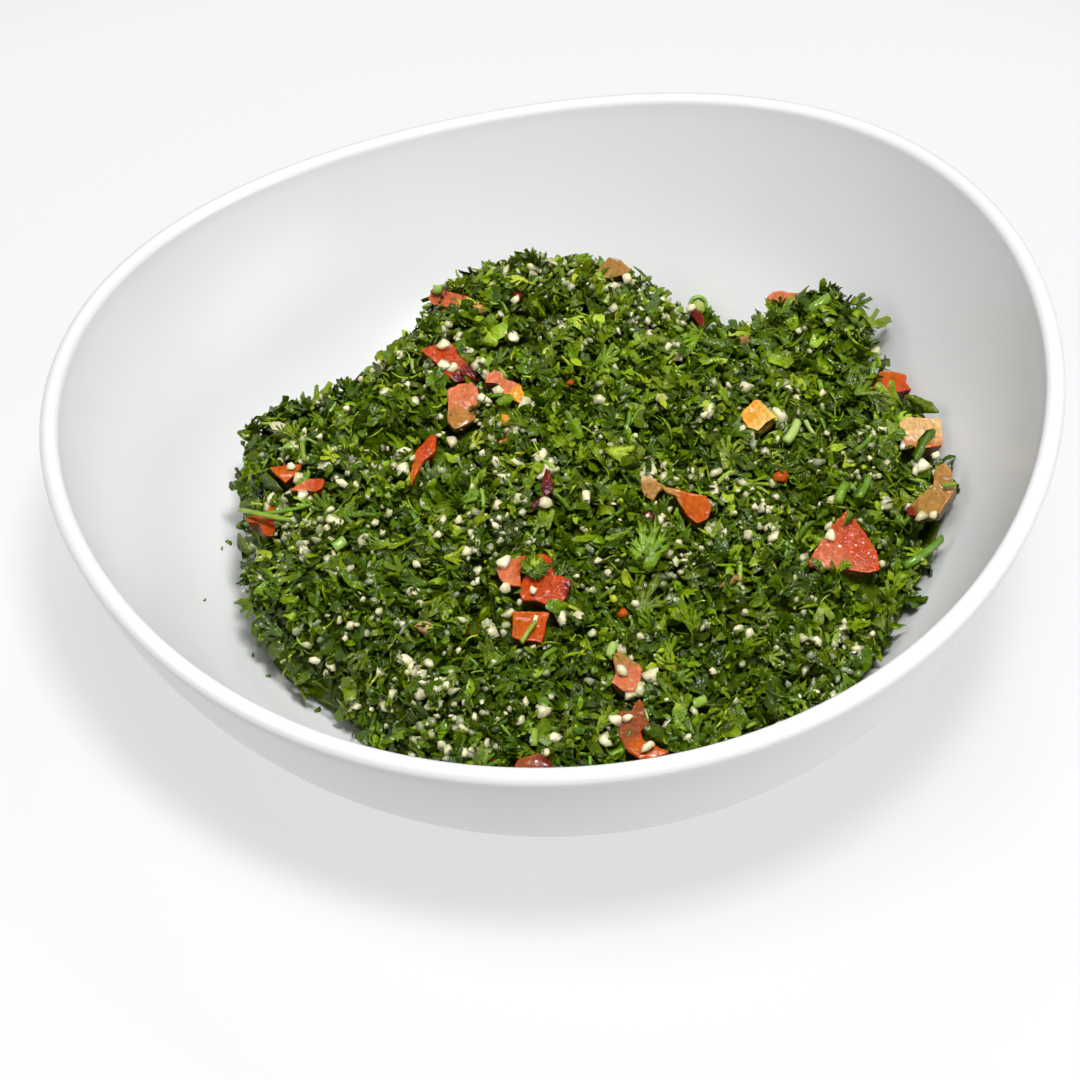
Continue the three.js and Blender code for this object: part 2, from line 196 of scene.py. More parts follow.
def heap_reach(angle):
    """A smooth closed curve through HEAP_REACH."""
    reach = np.array(HEAP_REACH, float)
    n = len(reach)
    spot = (np.asarray(angle) / TURN * n) % n
    i = np.floor(spot).astype(int)
    f = spot - i
    a, b, c, d = (reach[(i + k) % n] for k in (-1, 0, 1, 2))
    return b + 0.5 * f * (c - a + f * (2 * a - 5 * b + 4 * c - d + f * (3 * (b - c) + d - a)))


def heap_point(angle, share):
    reach = heap_reach(angle) * share
    return HEAP_AT[0] + reach * np.cos(angle), HEAP_AT[1] + reach * np.sin(angle)


def make_clumps():
    draw = draws(11)
    clumps = []
    for _ in range(CLUMP_COUNT):
        x, y = heap_point(TURN * next(draw), math.sqrt(next(draw)))
        height, radius = (low + (high - low) * next(draw) for low, high in (CLUMP_HEIGHT, CLUMP_RADIUS))
        clumps.append((float(x), float(y), height, radius))
    return clumps


CLUMPS = make_clumps()


def bell(x, y, middle_x, middle_y, radius):
    """1 at the middle, falling to 0 outside the radius."""
    return np.exp(-((x - middle_x) ** 2 + (y - middle_y) ** 2) / radius ** 2)


def mounds(hills, x, y):
    total = np.zeros_like(np.asarray(x, float))
    for hx, hy, height, radius in hills:
        total += height * bell(x, y, hx, hy, radius)
    return total


def heap_bed(x, y):
    """The salad's underside, GAP away from the bowl."""
    radius = np.maximum(np.hypot(x, y), 1)
    shift = (radius + GAP) / radius
    return bowl_floor(x * shift, y * shift) + GAP


def heap_top(x, y):
    """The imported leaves' surface, which falls steeply to a thin edge."""
    dx, dy = x - HEAP_AT[0], y - HEAP_AT[1]
    share = np.minimum(1, np.hypot(dx, dy) / heap_reach(np.arctan2(dy, dx)))
    bed = heap_bed(x, y) + HEAP_EDGE
    level = HEAP_LEVEL[0] + HEAP_LEVEL[1] * x + HEAP_LEVEL[2] * y
    bumps = mounds(HEAP_MOUNDS, x, y) + mounds(CLUMPS, x, y)
    bumps = bumps + mounds(HOLLOWS, x, y) * HOLLOW_DEEPENING
    return bed + np.maximum(level + bumps - bed, 0) * (1 - share ** 8) ** 0.6


def disc_grid(n):
    """A square grid bent onto a unit disc: angles and shares of the radius, (n+1) by (n+1)."""
    a, b = np.meshgrid(np.linspace(-1, 1, n + 1), np.linspace(-1, 1, n + 1))
    u = a * np.sqrt(1 - b * b / 2)
    v = b * np.sqrt(1 - a * a / 2)
    return np.arctan2(v, u), np.hypot(u, v)


# ---- node trees
class Tree:
    """Short ways to write a node tree. A value is a socket, which is linked, or a constant."""

    def __init__(self, tree):
        self.tree = tree

    def feed(self, socket, value):
        if isinstance(value, bpy.types.NodeSocket):
            self.tree.links.new(value, socket)
        else:
            socket.default_value = value

    def node(self, kind, values, **settings):
        node = self.tree.nodes.new(kind)
        for key, value in settings.items():
            setattr(node, key, value)
        for name, value in values.items():
            self.feed(next(s for s in node.inputs if s.name == name and s.enabled), value)
        return node

    def out(self, kind, values=None, output=None, **settings):
        """The named output of a new node, or its first one."""
        node = self.node(kind, values or {}, **settings)
        return next(s for s in node.outputs if s.enabled and output in (None, s.name))

    def math(self, operation, *values):
        node = self.node("ShaderNodeMath", {}, operation=operation)
        for socket, value in zip(node.inputs, values):
            self.feed(socket, value)
        return node.outputs[0]

    def vector(self, operation, *values, output=0, scale=1.0):
        node = self.node("ShaderNodeVectorMath", {}, operation=operation)
        for socket, value in zip(node.inputs, values):
            self.feed(socket, value)
        if operation == "SCALE":
            self.feed(node.inputs["Scale"], scale)
        return node.outputs[output]


class GeometryTree(Tree):
    """A Geometry Nodes group with one geometry in, one out, and named inputs of each kind."""

    def __init__(self, name, **kinds):
        group = bpy.data.node_groups.new(name, "GeometryNodeTree")
        super().__init__(group)
        face = group.interface
        for way in ("INPUT", "OUTPUT"):
            face.new_socket(name="Geometry", in_out=way, socket_type="NodeSocketGeometry")
        self.identifiers = {}
        for kind, titles in kinds.items():
            for title in titles:
                item = face.new_socket(name=title, in_out="INPUT", socket_type="NodeSocket" + kind)
                self.identifiers[title] = item.identifier
        self.inputs = self.node("NodeGroupInput", {}).outputs

    def random(self, low, high, seed, data_type="FLOAT"):
        return self.out("FunctionNodeRandomValue", {"Min": low, "Max": high, "Seed": seed},
                        data_type=data_type)

    def between(self, low, high, share):
        return self.math("MULTIPLY_ADD", share, self.math("SUBTRACT", high, low), low)

    def attribute(self, name):
        return self.out("GeometryNodeInputNamedAttribute", {"Name": name}, data_type="FLOAT")

    def finish(self, geometry):
        """Puts out the geometry in the material that is put in."""
        done = self.out("GeometryNodeSetMaterial", {
            "Geometry": geometry, "Material": self.inputs["Material"],
        })
        self.feed(self.node("NodeGroupOutput", {}).inputs[0], done)

    def run(self, piece, values):
        """Turns the piece into the plain mesh that the tree makes of it."""
        modifier = piece.modifiers.new(self.tree.name, "NODES")
        modifier.node_group = self.tree
        for title, value in values.items():
            modifier[self.identifiers[title]] = value
        keep_evaluated(piece)


# ---- objects
def add_object(name, data):
    piece = bpy.data.objects.new(name, data)
    bpy.context.scene.collection.objects.link(piece)
    return piece


def mesh_object(name, points, faces, material=None, smooth=True):
    mesh = bpy.data.meshes.new(name)
    mesh.from_pydata([tuple(p) for p in points], [], faces)
    if smooth:
        mesh.shade_smooth()
    if material:
        mesh.materials.append(material)
    return add_object(name, mesh)


def keep_evaluated(piece):
    """Puts what a piece's modifiers make in place of its mesh."""
    graph = bpy.context.evaluated_depsgraph_get()
    done = bpy.data.meshes.new_from_object(piece.evaluated_get(graph), depsgraph=graph)
    piece.modifiers.clear()
    piece.data = done


def set_attribute(mesh, name, values):
    """Stores numbers or colours on the mesh's points."""
    values = np.asarray(values, np.float32)
    kind, key = ("FLOAT", "value") if values.ndim == 1 else ("FLOAT_COLOR", "color")
    mesh.attributes.new(name, kind, "POINT").data.foreach_set(key, values.ravel())


def outward(mesh):
    """Turns all faces to point out of a closed mesh."""
    shape = bmesh.new()
    shape.from_mesh(mesh)
    bmesh.ops.recalc_face_normals(shape, faces=shape.faces)
    if shape.calc_volume(signed=True) < 0:
        bmesh.ops.reverse_faces(shape, faces=shape.faces)
    shape.to_mesh(mesh)
    shape.free()


# ---- materials
def new_material(name, values):
    """A material, its tree and its shader, with these values on the shader's own inputs."""
    material = bpy.data.materials.new(name)
    material.use_nodes = True
    shader = material.node_tree.nodes["Principled BSDF"]
    for key, value in values.items():
        shader.inputs[key].default_value = value
    return material, Tree(material.node_tree), shader


def object_coordinates(tree):
    return tree.node("ShaderNodeTexCoord", {}).outputs["Object"]


def object_noise(tree, scale, detail=2.0, roughness=0.5):
    """Noise on object coordinates. The scale is in features for each metre."""
    return tree.node("ShaderNodeTexNoise", {
        "Vector": object_coordinates(tree), "Scale": scale, "Detail": detail, "Roughness": roughness,
    }).outputs["Fac"]


def ramp(tree, factor, stops):
    node = tree.node("ShaderNodeValToRGB", {"Fac": factor})
    elements = node.color_ramp.elements
    while len(elements) < len(stops):
        elements.new(0.5)
    for element, (position, colour) in zip(elements, stops):
        element.position = position
        element.color = (*colour, 1)
    return node.outputs["Color"]


def product(tree, factor, a, b):
    return tree.out("ShaderNodeMix", {"Factor": factor, "A": a, "B": b}, "Result",
                    data_type="RGBA", blend_type="MULTIPLY")


def tinted(tree, scale):
    """A piece's own tint, and its shade: the tint with blotches over it."""
    tint = tree.node("ShaderNodeAttribute", {}, attribute_name="tint").outputs["Fac"]
    blotch = tree.math("SUBTRACT", object_noise(tree, scale, 3), 0.5)
    return tint, tree.math("ADD", tint, tree.math("MULTIPLY", blotch, 0.5))


def paint(tree, shader, colour, height, strength, distance):
    """Gives the shader its colour, and bumps to the surface and the wet coat over it."""
    tree.feed(shader.inputs["Base Color"], colour)
    normal = tree.out("ShaderNodeBump", {"Strength": strength, "Distance": distance, "Height": height})
    tree.feed(shader.inputs["Normal"], normal)
    tree.feed(shader.inputs["Coat Normal"], normal)


def porcelain_material():
    material, tree, shader = new_material("porcelain_glaze", {
        "Roughness": 0.34, "IOR": 1.5, "Coat Weight": 0.25, "Coat Roughness": 0.22,
    })
    cloud = ramp(tree, object_noise(tree, 14, 3), (
        (0.35, (0.690, 0.696, 0.702)), (0.65, (0.720, 0.722, 0.724)),
    ))
    paint(tree, shader, cloud, object_noise(tree, 60, 1), 0.02, 0.001)
    return material


def leaf_material(name, colours, vein_scale=1000, oil=0.8):
    """Oiled leaf: its shade follows the piece's own tint, with blotches and fine ribs over it."""
    material, tree, shader = new_material(name, {
        "Roughness": 0.6, "Specular IOR Level": 0.0, "Coat Weight": oil, "Coat Roughness": 0.075,
    })
    tint, shade = tinted(tree, 420)
    fresh = tree.math("MULTIPLY", tree.math("FRACT", tree.math("MULTIPLY", tint, 23.7)), 0.9)
    cooler = product(tree, fresh, ramp(tree, shade, colours), (0.66, 0.95, 0.80, 1))
    paint(tree, shader, cooler, object_noise(tree, vein_scale, 3), 0.9, 0.0006)
    return material


def grain_material():
    material, tree, shader = new_material("soaked_bulgur", {
        "Roughness": 0.32, "Subsurface Weight": 0.7, "Subsurface Radius": (1.0, 0.85, 0.5),
        "Subsurface Scale": 0.0010, "Coat Weight": 0.3, "Coat Roughness": 0.15,
    })
    colour = ramp(tree, tinted(tree, 500)[1], (
        (0.00, (0.20, 0.23, 0.12)), (0.35, (0.36, 0.37, 0.20)),
        (0.75, (0.59, 0.55, 0.33)), (1.00, (0.78, 0.71, 0.47)),
    ))
    paint(tree, shader, colour, object_noise(tree, 1500, 3), 0.4, 0.0003)
    return material


def tomato_material(name, wetness):
    """Cut tomato: its colour is painted on the piece, and pulp has more bumps than skin."""
    material, tree, shader = new_material(name, {
        "Roughness": 0.4, "Specular IOR Level": 0.1, "IOR": 1.4, "Subsurface Weight": 0.3,
        "Subsurface Radius": (1.0, 0.3, 0.12), "Subsurface Scale": 0.0010,
        "Coat Weight": wetness, "Coat Roughness": 0.06,
    })
    flesh = tree.node("ShaderNodeAttribute", {}, attribute_name="flesh").outputs["Color"]
    pulp = tree.node("ShaderNodeAttribute", {}, attribute_name="pulp").outputs["Fac"]
    grain = ramp(tree, object_noise(tree, 1300, 4, 0.6), (
        (0.30, (0.80, 0.72, 0.72)), (0.52, (1.0, 1.0, 1.0)), (0.75, (1.06, 1.12, 1.18)),
    ))
    mottled = product(tree, 1.0, flesh, grain)
    paint(tree, shader, mottled, object_noise(tree, 850, 1.5), pulp, 0.0008)
    return material


PORCELAIN = porcelain_material()
LEAF = leaf_material("oiled_parsley", (
    (0.00, (0.034, 0.052, 0.0010)), (0.30, (0.050, 0.082, 0.0004)),
    (0.65, (0.112, 0.160, 0.0006)), (0.88, (0.230, 0.300, 0.0040)),
    (1.00, (0.420, 0.480, 0.0300)),
))
SHADOW_LEAF = leaf_material("packed_parsley", (
    (0.0, (0.058, 0.085, 0.002)), (1.0, (0.105, 0.150, 0.005)),
), oil=0.15)
STEM = leaf_material("cut_stem", (
    (0.0, (0.080, 0.150, 0.008)), (0.6, (0.220, 0.320, 0.030)), (1.0, (0.480, 0.540, 0.150)),
), 500)
GRAIN = grain_material()
TOMATO = tomato_material("cut_tomato", 0.5)
TOMATO_PULP = tomato_material("tomato_pulp", 0.65)


# ---- bowl
SECTION_PARTS = ("fixed_out", "base_share", "rim_share", "fixed_up", "lip_share")


def rounding(middle, radius, start):
    """Points of a quarter circle that stands on the table, from an angle in degrees."""
    turns = [math.radians(start + 90 * i / 4) for i in range(5)]
    return [(middle + radius * math.cos(t), radius + radius * math.sin(t)) for t in turns]


def wall_shares(i):
    """How far the wall is along its steps, and out and up, as shares of the whole wall."""
    t = i / WALL_STEPS
    out = math.sin(t * WALL_SWEEP) / math.sin(WALL_SWEEP)
    return t, out, (1 - math.cos(t * WALL_SWEEP)) / (1 - math.cos(WALL_SWEEP))


def section_rows():
    """The bowl's section, from the underside's middle round to the floor's. Each row says how a
    point is made: radius = fixed + base share x base radius + rim share x rim radius, and
    height = fixed + lip share x lip height."""
    foot = [(0, FOOT_RECESS)]
    foot += [(FOOT_INNER * share, FOOT_RECESS) for share in (0.3, 0.6, 0.85, 0.97)]
    foot += rounding(FOOT_INNER + FOOT_INNER_ROUND, FOOT_INNER_ROUND, 180)
    foot += rounding(FOOT_OUTER - FOOT_OUTER_ROUND, FOOT_OUTER_ROUND, 270)
    foot += [(FOOT_OUTER + 0.3, FOOT_HEIGHT * 0.5), (FOOT_OUTER + 1.2, FOOT_HEIGHT * 0.86)]
    rows = [(radius, 0, 0, height, 0) for radius, height in foot]
    for t, out, up in map(wall_shares, range(WALL_STEPS + 1)):
        rows.append((LIP_RADIUS * t * t, 1 - out, out, FOOT_HEIGHT * (1 - up), up))
    for i in range(1, LIP_STEPS):
        turn = math.pi * i / LIP_STEPS
        rows.append((LIP_RADIUS * math.cos(turn), 0, 1, LIP_RADIUS * math.sin(turn), 1))
    for _, out, up in map(wall_shares, range(WALL_STEPS, -1, -1)):
        inset = -WALL_INSET * (1 - out) - LIP_RADIUS * out
        rows.append((inset, 1 - out, out, FLOOR_HEIGHT * (1 - up), up))
    base = BASE_RADIUS - WALL_INSET
    return rows + [(base * share, 0, 0, FLOOR_HEIGHT, 0) for share in (0.8, 0.5, 0.2, 0)]


def bowl_tree():
    """Sweeps the section round the foot, each point out and up by its shares of the rim."""
    tree = GeometryTree(
        "rim_sweep", Int=("Rows", "Segments"), Material=("Material",),
        Float=("Mean rim radius", "Mean rim height", "Base radius", "Lip radius"),
    )
    given = tree.inputs
    rows, segments = given["Rows"], given["Segments"]
    grid = tree.out("GeometryNodeMeshGrid", {
        "Size X": 1.0, "Size Y": 1.0, "Vertices X": tree.math("ADD", segments, 1), "Vertices Y": rows,
    })
    index = tree.out("GeometryNodeInputIndex")
    row = tree.math("FLOORED_MODULO", index, rows)
    column = tree.math("FLOOR", tree.math("DIVIDE", index, rows))
    angle = tree.math("DIVIDE", tree.math("MULTIPLY", column, TURN), segments)

    def wave(total, waves):
        for k, parts in enumerate(waves, start=1):
            phase = tree.math("MULTIPLY", angle, k)
            for operation, part in zip(("COSINE", "SINE"), parts):
                total = tree.math("MULTIPLY_ADD", tree.math(operation, phase), part, total)
        return total

    rim = wave(given["Mean rim radius"], RIM_RADIUS[1])
    lip = tree.math("SUBTRACT", wave(given["Mean rim height"], RIM_HEIGHT[1]), given["Lip radius"])
    swell = tree.math("SQRT", tree.math("DIVIDE", rim, given["Mean rim radius"]))
    base = tree.math("MULTIPLY", given["Base radius"], swell)
    parts = {part: tree.out("GeometryNodeSampleIndex", {
        "Geometry": given["Geometry"], "Value": tree.attribute(part), "Index": row,
    }, data_type="FLOAT") for part in SECTION_PARTS}
    radius = tree.math("MULTIPLY_ADD", parts["base_share"], base, parts["fixed_out"])
    radius = tree.math("MULTIPLY_ADD", parts["rim_share"], rim, radius)
    height = tree.math("MULTIPLY_ADD", parts["lip_share"], lip, parts["fixed_up"])
    x, y = (tree.math("ADD", tree.math("MULTIPLY", radius, tree.math(operation, angle)), at)
            for operation, at in zip(("COSINE", "SINE"), FOOT_AT))
    spot = tree.out("ShaderNodeCombineXYZ", {"X": x, "Y": y, "Z": height})
    swept = tree.out("GeometryNodeSetPosition", {
        "Geometry": grid, "Position": tree.vector("SCALE", spot, scale=MM),
    })
    closed = tree.out("GeometryNodeMergeByDistance", {"Geometry": swept, "Distance": 0.02 * MM})
    tree.finish(tree.out("GeometryNodeRealizeInstances", {"Geometry": closed}))
    return tree


def make_bowl():
    rows = section_rows()
    bowl = mesh_object("porcelain_bowl", [(i * MM, 0, 0) for i in range(len(rows))], [])
    for part, values in zip(SECTION_PARTS, zip(*rows)):
        set_attribute(bowl.data, part, values)
    bowl_tree().run(bowl, {
        "Rows": len(rows), "Segments": BOWL_SEGMENTS, "Mean rim radius": RIM_RADIUS[0],
        "Mean rim height": RIM_HEIGHT[0], "Base radius": BASE_RADIUS,
        "Lip radius": LIP_RADIUS, "Material": PORCELAIN,
    })
    outward(bowl.data)
    bowl.data.shade_smooth()
    return bowl


# ---- heap: core and cover
def grid_faces(n):
    """The faces of a grid of (n+1) by (n+1) points."""
    corners = [j * (n + 1) + i for j in range(n) for i in range(n)]
    return [(a, a + 1, a + n + 2, a + n + 1) for a in corners]


def crevice(x, y):
    """1 in the dark cracks between tufts, falling to 0 away from them."""
    bend = noise.noise(Vector((x / 6, y / 6, 1.3))) * 2.5
    spot = Vector(((x + bend) / CREVICE_SPACING, (y - bend) / CREVICE_SPACING, 7.1))
    broken = noise.noise(Vector((x / 11, y / 11, 4.4))) + 0.25
    return max(0.0, 1 - abs(noise.noise(spot)) / CREVICE_WIDTH) * clamped(broken * 4)


def tuft(x, y):
    """Tuft-sized ups and downs."""
    return TUFT_HEIGHT * noise.fractal(Vector((x / TUFT_SIZE, y / TUFT_SIZE, 3.7)), 0.9, 2.1, 3)


def make_core():
    """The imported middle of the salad, a little below the leaves that show."""
    n = SURFACE_GRID
    angle, share = disc_grid(n)
    x, y = heap_point(angle, share * (around(COVER_SHARE, angle) - CORE_INSET))
    top = make_room(x, y, heap_top(x, y) - CORE_SINK, CORE_POCKET)
    points = []
    for px, py, bed, height in zip(x.flat, y.flat, heap_bed(x, y).flat, top.flat):
        height += tuft(px, py) - CREVICE_DEPTH * crevice(px, py)
        points.append(place(px, py, max(height, bed + CORE_THINNEST)))
    faces = grid_faces(n)
    at = np.arange((n + 1) ** 2).reshape(n + 1, n + 1)
    border = [*at[0, :-1], *at[:-1, -1], *at[-1, :0:-1], *at[:0:-1, 0]]
    upper = [int(k) for k in border]
    turns = [float(angle.flat[k]) for k in upper]
    for inward in BED_RINGS:
        lower = []
        for turn in turns:
            px, py = heap_point(turn, inward * (around(COVER_SHARE, turn) - CORE_INSET))
            lower.append(len(points))
            points.append(place(px, py, float(heap_bed(px, py))))
        for k in range(len(upper)):
            m = (k + 1) % len(upper)
            faces.append((upper[k], lower[k], lower[m], upper[m]))
        upper = lower
    faces.append(tuple(reversed(upper)))
    core = mesh_object("salad_core", points, faces, SHADOW_LEAF)
    outward(core.data)
    set_attribute(core.data, "tint", [0.35] * len(core.data.vertices))
    return core


def make_cover():
    """The surface that the loose pieces are scattered on, with what grows where."""
    angle, share = disc_grid(SURFACE_GRID)
    x, y = (line.ravel() for line in heap_point(angle, share * around(COVER_SHARE, angle)))
    z = make_room(x, y, heap_top(x, y), LEAF_POCKET)
    cracks = np.array([crevice(px, py) for px, py in zip(x, y)])
    sunk = z - CREVICE_DEPTH * CREVICE_SINK * cracks
    cover = mesh_object("salad_cover", map(place, x, y, sunk), grid_faces(SURFACE_GRID))
    hollow = np.zeros(x.size)
    for hx, hy, _, radius in HOLLOWS:
        hollow = np.maximum(hollow, bell(x, y, hx, hy, radius * 1.1))
    nests = np.zeros(x.size)
    for nx, ny, radius in GRAIN_NESTS:
        nests = np.maximum(nests, bell(x, y, nx, ny, radius))
    free = off_tomato(x, y) * (1 - CREVICE_BARE * cracks) * (1 - HOLLOW_BARE * hollow)
    set_attribute(cover.data, "leafy", free)
    on_tomato = GRAINS_ON_TOMATO + (1 - GRAINS_ON_TOMATO) * free
    set_attribute(cover.data, "grainy", on_tomato * (GRAINS_APART + (1 - GRAINS_APART) * nests))
    return cover


# ---- tomato: where it lies
# Colours of tomato flesh and skin.
RED = (0.41, 0.048, 0.003)
DEEP_RED = (0.13, 0.010, 0.003)
ORANGE = (0.41, 0.075, 0.003)
AMBER = (0.66, 0.29, 0.025)
HONEY = (0.34, 0.15, 0.03)
SALMON = (0.52, 0.145, 0.058)
PINK = (0.48, 0.110, 0.042)
PALE = (0.56, 0.35, 0.14)
BEIGE = (0.31, 0.16, 0.035)
MAROON = (0.085, 0.007, 0.012)
YELLOW = (0.68, 0.40, 0.10)
DUSKY = (0.22, 0.055, 0.014)
UP, DOWN, LEFT, RIGHT = (0.0, 1.0), (0.0, -1.0), (-1.0, 0.0), (1.0, 0.0)
LOW_LEFT, LOW_RIGHT = (-0.7, -0.7), (0.7, -0.7)

# A cut piece of tomato. Its outline is what shows of it from the front, in millimetres right and
# up of its node's top. Its top leans to the front and to the right, in degrees, and stands up
# from its pocket by the rise. From "start" millimetres towards one side it takes its second
# colour. Pulp has wet bumps, from 0 to 1.
Dice = namedtuple("Dice", "outline lean rise first second toward start pulp")
DICE = [Dice(*row) for row in (
    ((-5.8, -2, -4.4, -0.2, -2.3, -0.3, 2.4, -1.7, 7.7, -4.2, 6, -5.8, 1.9, -4.7, -4.8, -3.6),
     (16, -12), 3, PINK, YELLOW, RIGHT, 3.8, 0.3),
    ((-4.4, -4.8, -3.2, -2.8, 0.3, 0.9, 2.8, 0.2, 5, -1.8, 3.4, -2.8, -0.6, -3.4, -2.8, -5.3),
     (16, 0), 2.4, BEIGE, DEEP_RED, LOW_LEFT, 3.6, 0.1),
    ((-1.5, 1.8, 0.6, 1.3, 2.1, -0.6, 2.4, -3, 1.2, -2.8, -0.3, -0.4),
     (16, 0), 1, DEEP_RED, RED, UP, 0.8, 0.1),
    ((-3.6, 0.7, -2.2, 2, -0.4, 2.4, 1.8, 2.1, 4.6, 2, 5, 0.8, 1, 0, -0.3, -0.6),
     (16, 0), 2, SALMON, BEIGE, RIGHT, 1.6, 0.2),
    ((-5.7, -0.2, -2.8, 1.1, 0.9, 1.2, 1.6, -1.2, 5.6, -5, 5.2, -6.4, 1.2, -7, -1.6, -4.2),
     (12, 8), 1.3, RED, MAROON, LOW_RIGHT, 5, 0.9),
    ((-2.8, 1, -0.6, 2.2, 1.6, 2.7, 3.2, 0.8, 3.3, -2.6, 2.6, -5.2, 0.4, -6.6, -1.4, -7.3, -2.9, -5.6),
     (16, 0), 1.6, SALMON, HONEY, DOWN, 3, 0.2),
    ((-4.4, -1, -2.8, 0.6, -1.2, 0.2, -0.4, -1.6, 2.6, -2.8, 4, -5.8, 3.6, -7.6, 1.6, -6, -0.6, -4.8, -2,
     -2.6, -4.6, -2.4), (14, 0), 1.4, SALMON, AMBER, LOW_RIGHT, 3.6, 0.4),
    ((-2.5, 0.2, -0.8, 2.4, 0.8, 4.3, 2, 4.4, 1.8, 0.8, -0.4, -1, -1.2, -3, -2.7, -6.2, -3.3, -4.2, -2.6,
     -1.6), (14, 0), 1.4, RED, ORANGE, DOWN, 1.2, 0.5),
    ((-4.4, -0.9, -1.8, -0.6, 0.6, -0.4, 2.6, 0.2, 1.9, -2, 0.8, -2.8, -0.8, -4.2, -2.6, -2.6),
     (13, 0), 1.3, ORANGE, DEEP_RED, UP, 0, 0.1),
    ((-3.4, -0.3, -1.4, 1, 0.6, 2.3, 3.7, 1.9, 3.6, 0.6, 2.2, -0.6, -0.4, -0.3),
     (13, 0), 2.4, PINK, RED, RIGHT, 1.2, 0.5),
    ((-3.8, -1.4, -1.6, -0.9, 0.4, 0.2, 1.8, 1.6, 2.8, -1.6, 3.2, -4.2, 2, -5.4, 0.2, -4.8, -1, -2.6, -3.2,
     -2.4), (13, 0), 1.3, ORANGE, RED, LOW_RIGHT, 1.8, 0.2),
    ((-3.2, -1, -2.4, 0.4, -0.6, 2.3, 0.8, 2.3, 2.4, 0.4, 4, -1.2, 2, -2.4, 0.2, -4.2, -2, -3.4),
     (13, 0), 1.6, AMBER, YELLOW, LOW_RIGHT, 1.2, 0.2),
    ((-3, 0.6, -1.8, 1.8, 0.6, 1.6, 3.9, 1, 3.6, -0.6, 4.8, -2, 1.6, -2.6, -2.8, -2.7, -3.9, -2, -2.8,
     -0.6), (12, 6), 1, ORANGE, RED, LOW_RIGHT, 1.5, 0.1),
    ((-3.9, 2, -2, 3, 4.6, 2.9, 5, 0.6, 4.6, -2.8, 0.5, -3.4, -3.4, -3, -3.8, 0.4),
     (10, 0), 1.2, PALE, ORANGE, DOWN, 2.2, 0.1),
    ((-5.2, -5, -2.2, -2.2, 0.8, -0.2, 1.6, 3.6, 3.4, 4.4, 4.6, 2.4, 5.3, -0.6, 3.4, -3, 1.4, -6, -2.2,
     -6.4, -5, -6.2), (10, -12), 1, BEIGE, DEEP_RED, LOW_LEFT, 5.6, 0.1),
    ((0.6, 5.2, 1.8, 3.6, 4.3, -0.6, 5.8, -3.8, 6.6, -7, 3.8, -7.6, -2, -6.8, -7.6, -6.6, -8.2, -5.4, -6.2,
     -2.4, -4, 0.2, -1.6, 3.2), (14, 0), 2, RED, PINK, LOW_LEFT, 2.4, 1),
    ((-6, 2.4, -3, 1.8, 0, 1, 3.2, 0.4, 4.1, -1.6, 3.6, -4.2, 1.2, -5.3, -0.4, -4, -2.4, -1.4, -3, 0.4, -5,
     1.2), (13, 0), 1.6, ORANGE, BEIGE, LEFT, 2.6, 0.05),
    ((-2, 0.2, -1, 1.2, 0.6, 0.8, 1.8, -0.6, 3.4, -1.4, 1.8, -2, 1, -3.8, 0, -4.6, -1, -3.4, -1.9, -1.4),
     (13, 0), 1.2, BEIGE, PALE, UP, 0, 0.4),
    ((-3.3, -1, -3, 0.6, -0.6, 0.8, 1, 1.2, 3, 2.2, 2.6, 0.4, 1.9, -1.6, 2, -4.4, 0, -4.2, -1.8, -3.4, -2.8,
     -2), (14, -10), 1.6, SALMON, ORANGE, RIGHT, 1, 0.1),
    ((-6.8, -1.8, -6.2, 1, -2.6, 6.2, -0.4, 5.4, 0.2, 2, 3.8, 0.8, 2.6, -2.2, 1.6, -3.8, -0.8, -4.2, -3.4,
     -3.2, -6.4, -3), (13, 0), 1.6, RED, DEEP_RED, RIGHT, 1.8, 0.8),
    ((-3.8, 1, -2.2, 1.2, 1.2, 1.2, 3.7, 0.8, 3, -2, 2.3, -5.4, 0.8, -4.8, -1.8, -4.6, -4, -4, -3.6, -1),
     (14, 0), 1.6, ORANGE, RED, LOW_RIGHT, 2.4, 0.1),
    ((-3.8, -4, -2.6, -1.8, -2.8, 1.2, -1.6, 1.8, 0.4, 0, 1.4, -0.4, 2.6, -1.2, 2.4, -3.2, 1, -5.6, -1.2,
     -5.8), (13, 0), 1.2, SALMON, BEIGE, UP, -1, 0.3),
    ((-0.9, 3.6, 0.4, 4.8, 1.6, 3.4, 1.4, 1, 2.6, -0.4, 0.6, -1.8, 1.2, -3.6, 4.2, -5, 6.2, -5.6, 4, -6.8,
     0.2, -7.2, -2.6, -5, -3.8, -2.8, -4.6, 0.8, -3.6, 2.4, -1.4, 1.8),
     (14, 0), 1.6, DUSKY, ORANGE, LOW_RIGHT, 1.6, 0.2),
    ((-4.6, -3, -3.4, -1.6, -1, -1.4, 0.4, -0.8, 2.2, -1.6, 4.2, -3.2, 3.4, -5, -3.8, -5),
     (13, 0), 1.2, DUSKY, DEEP_RED, RIGHT, 0.5, 0.1),
    ((0, 3.6, 0.9, 3.2, 1.6, 0.4, 1.5, -1, 0.4, -2, -1, -3.2, -2, -4.6, -2.8, -4.4, -2.7, -3.6, -1.2, -2.4,
     -0.5, -1.2, -0.8, 0.2, -0.4, 1.6), (13, 0), 2.8, MAROON, DEEP_RED, UP, 1, 1),
)]
DICE_THICKNESS = 4.0
DICE_TAPER = 0.84
VOXEL = 0.3
# A piece with more pulp than this has the wetter material.
WETTER_PULP = 0.35
# How deep the leaves and the core stay under a tomato's top, and how far round it.
LEAF_POCKET = 0.9
CORE_POCKET = 2.4
POCKET_MARGIN = 2.2
# How far in front of a piece nothing may stand, so that it stays in sight.
SIGHT_ROOM = 1.4
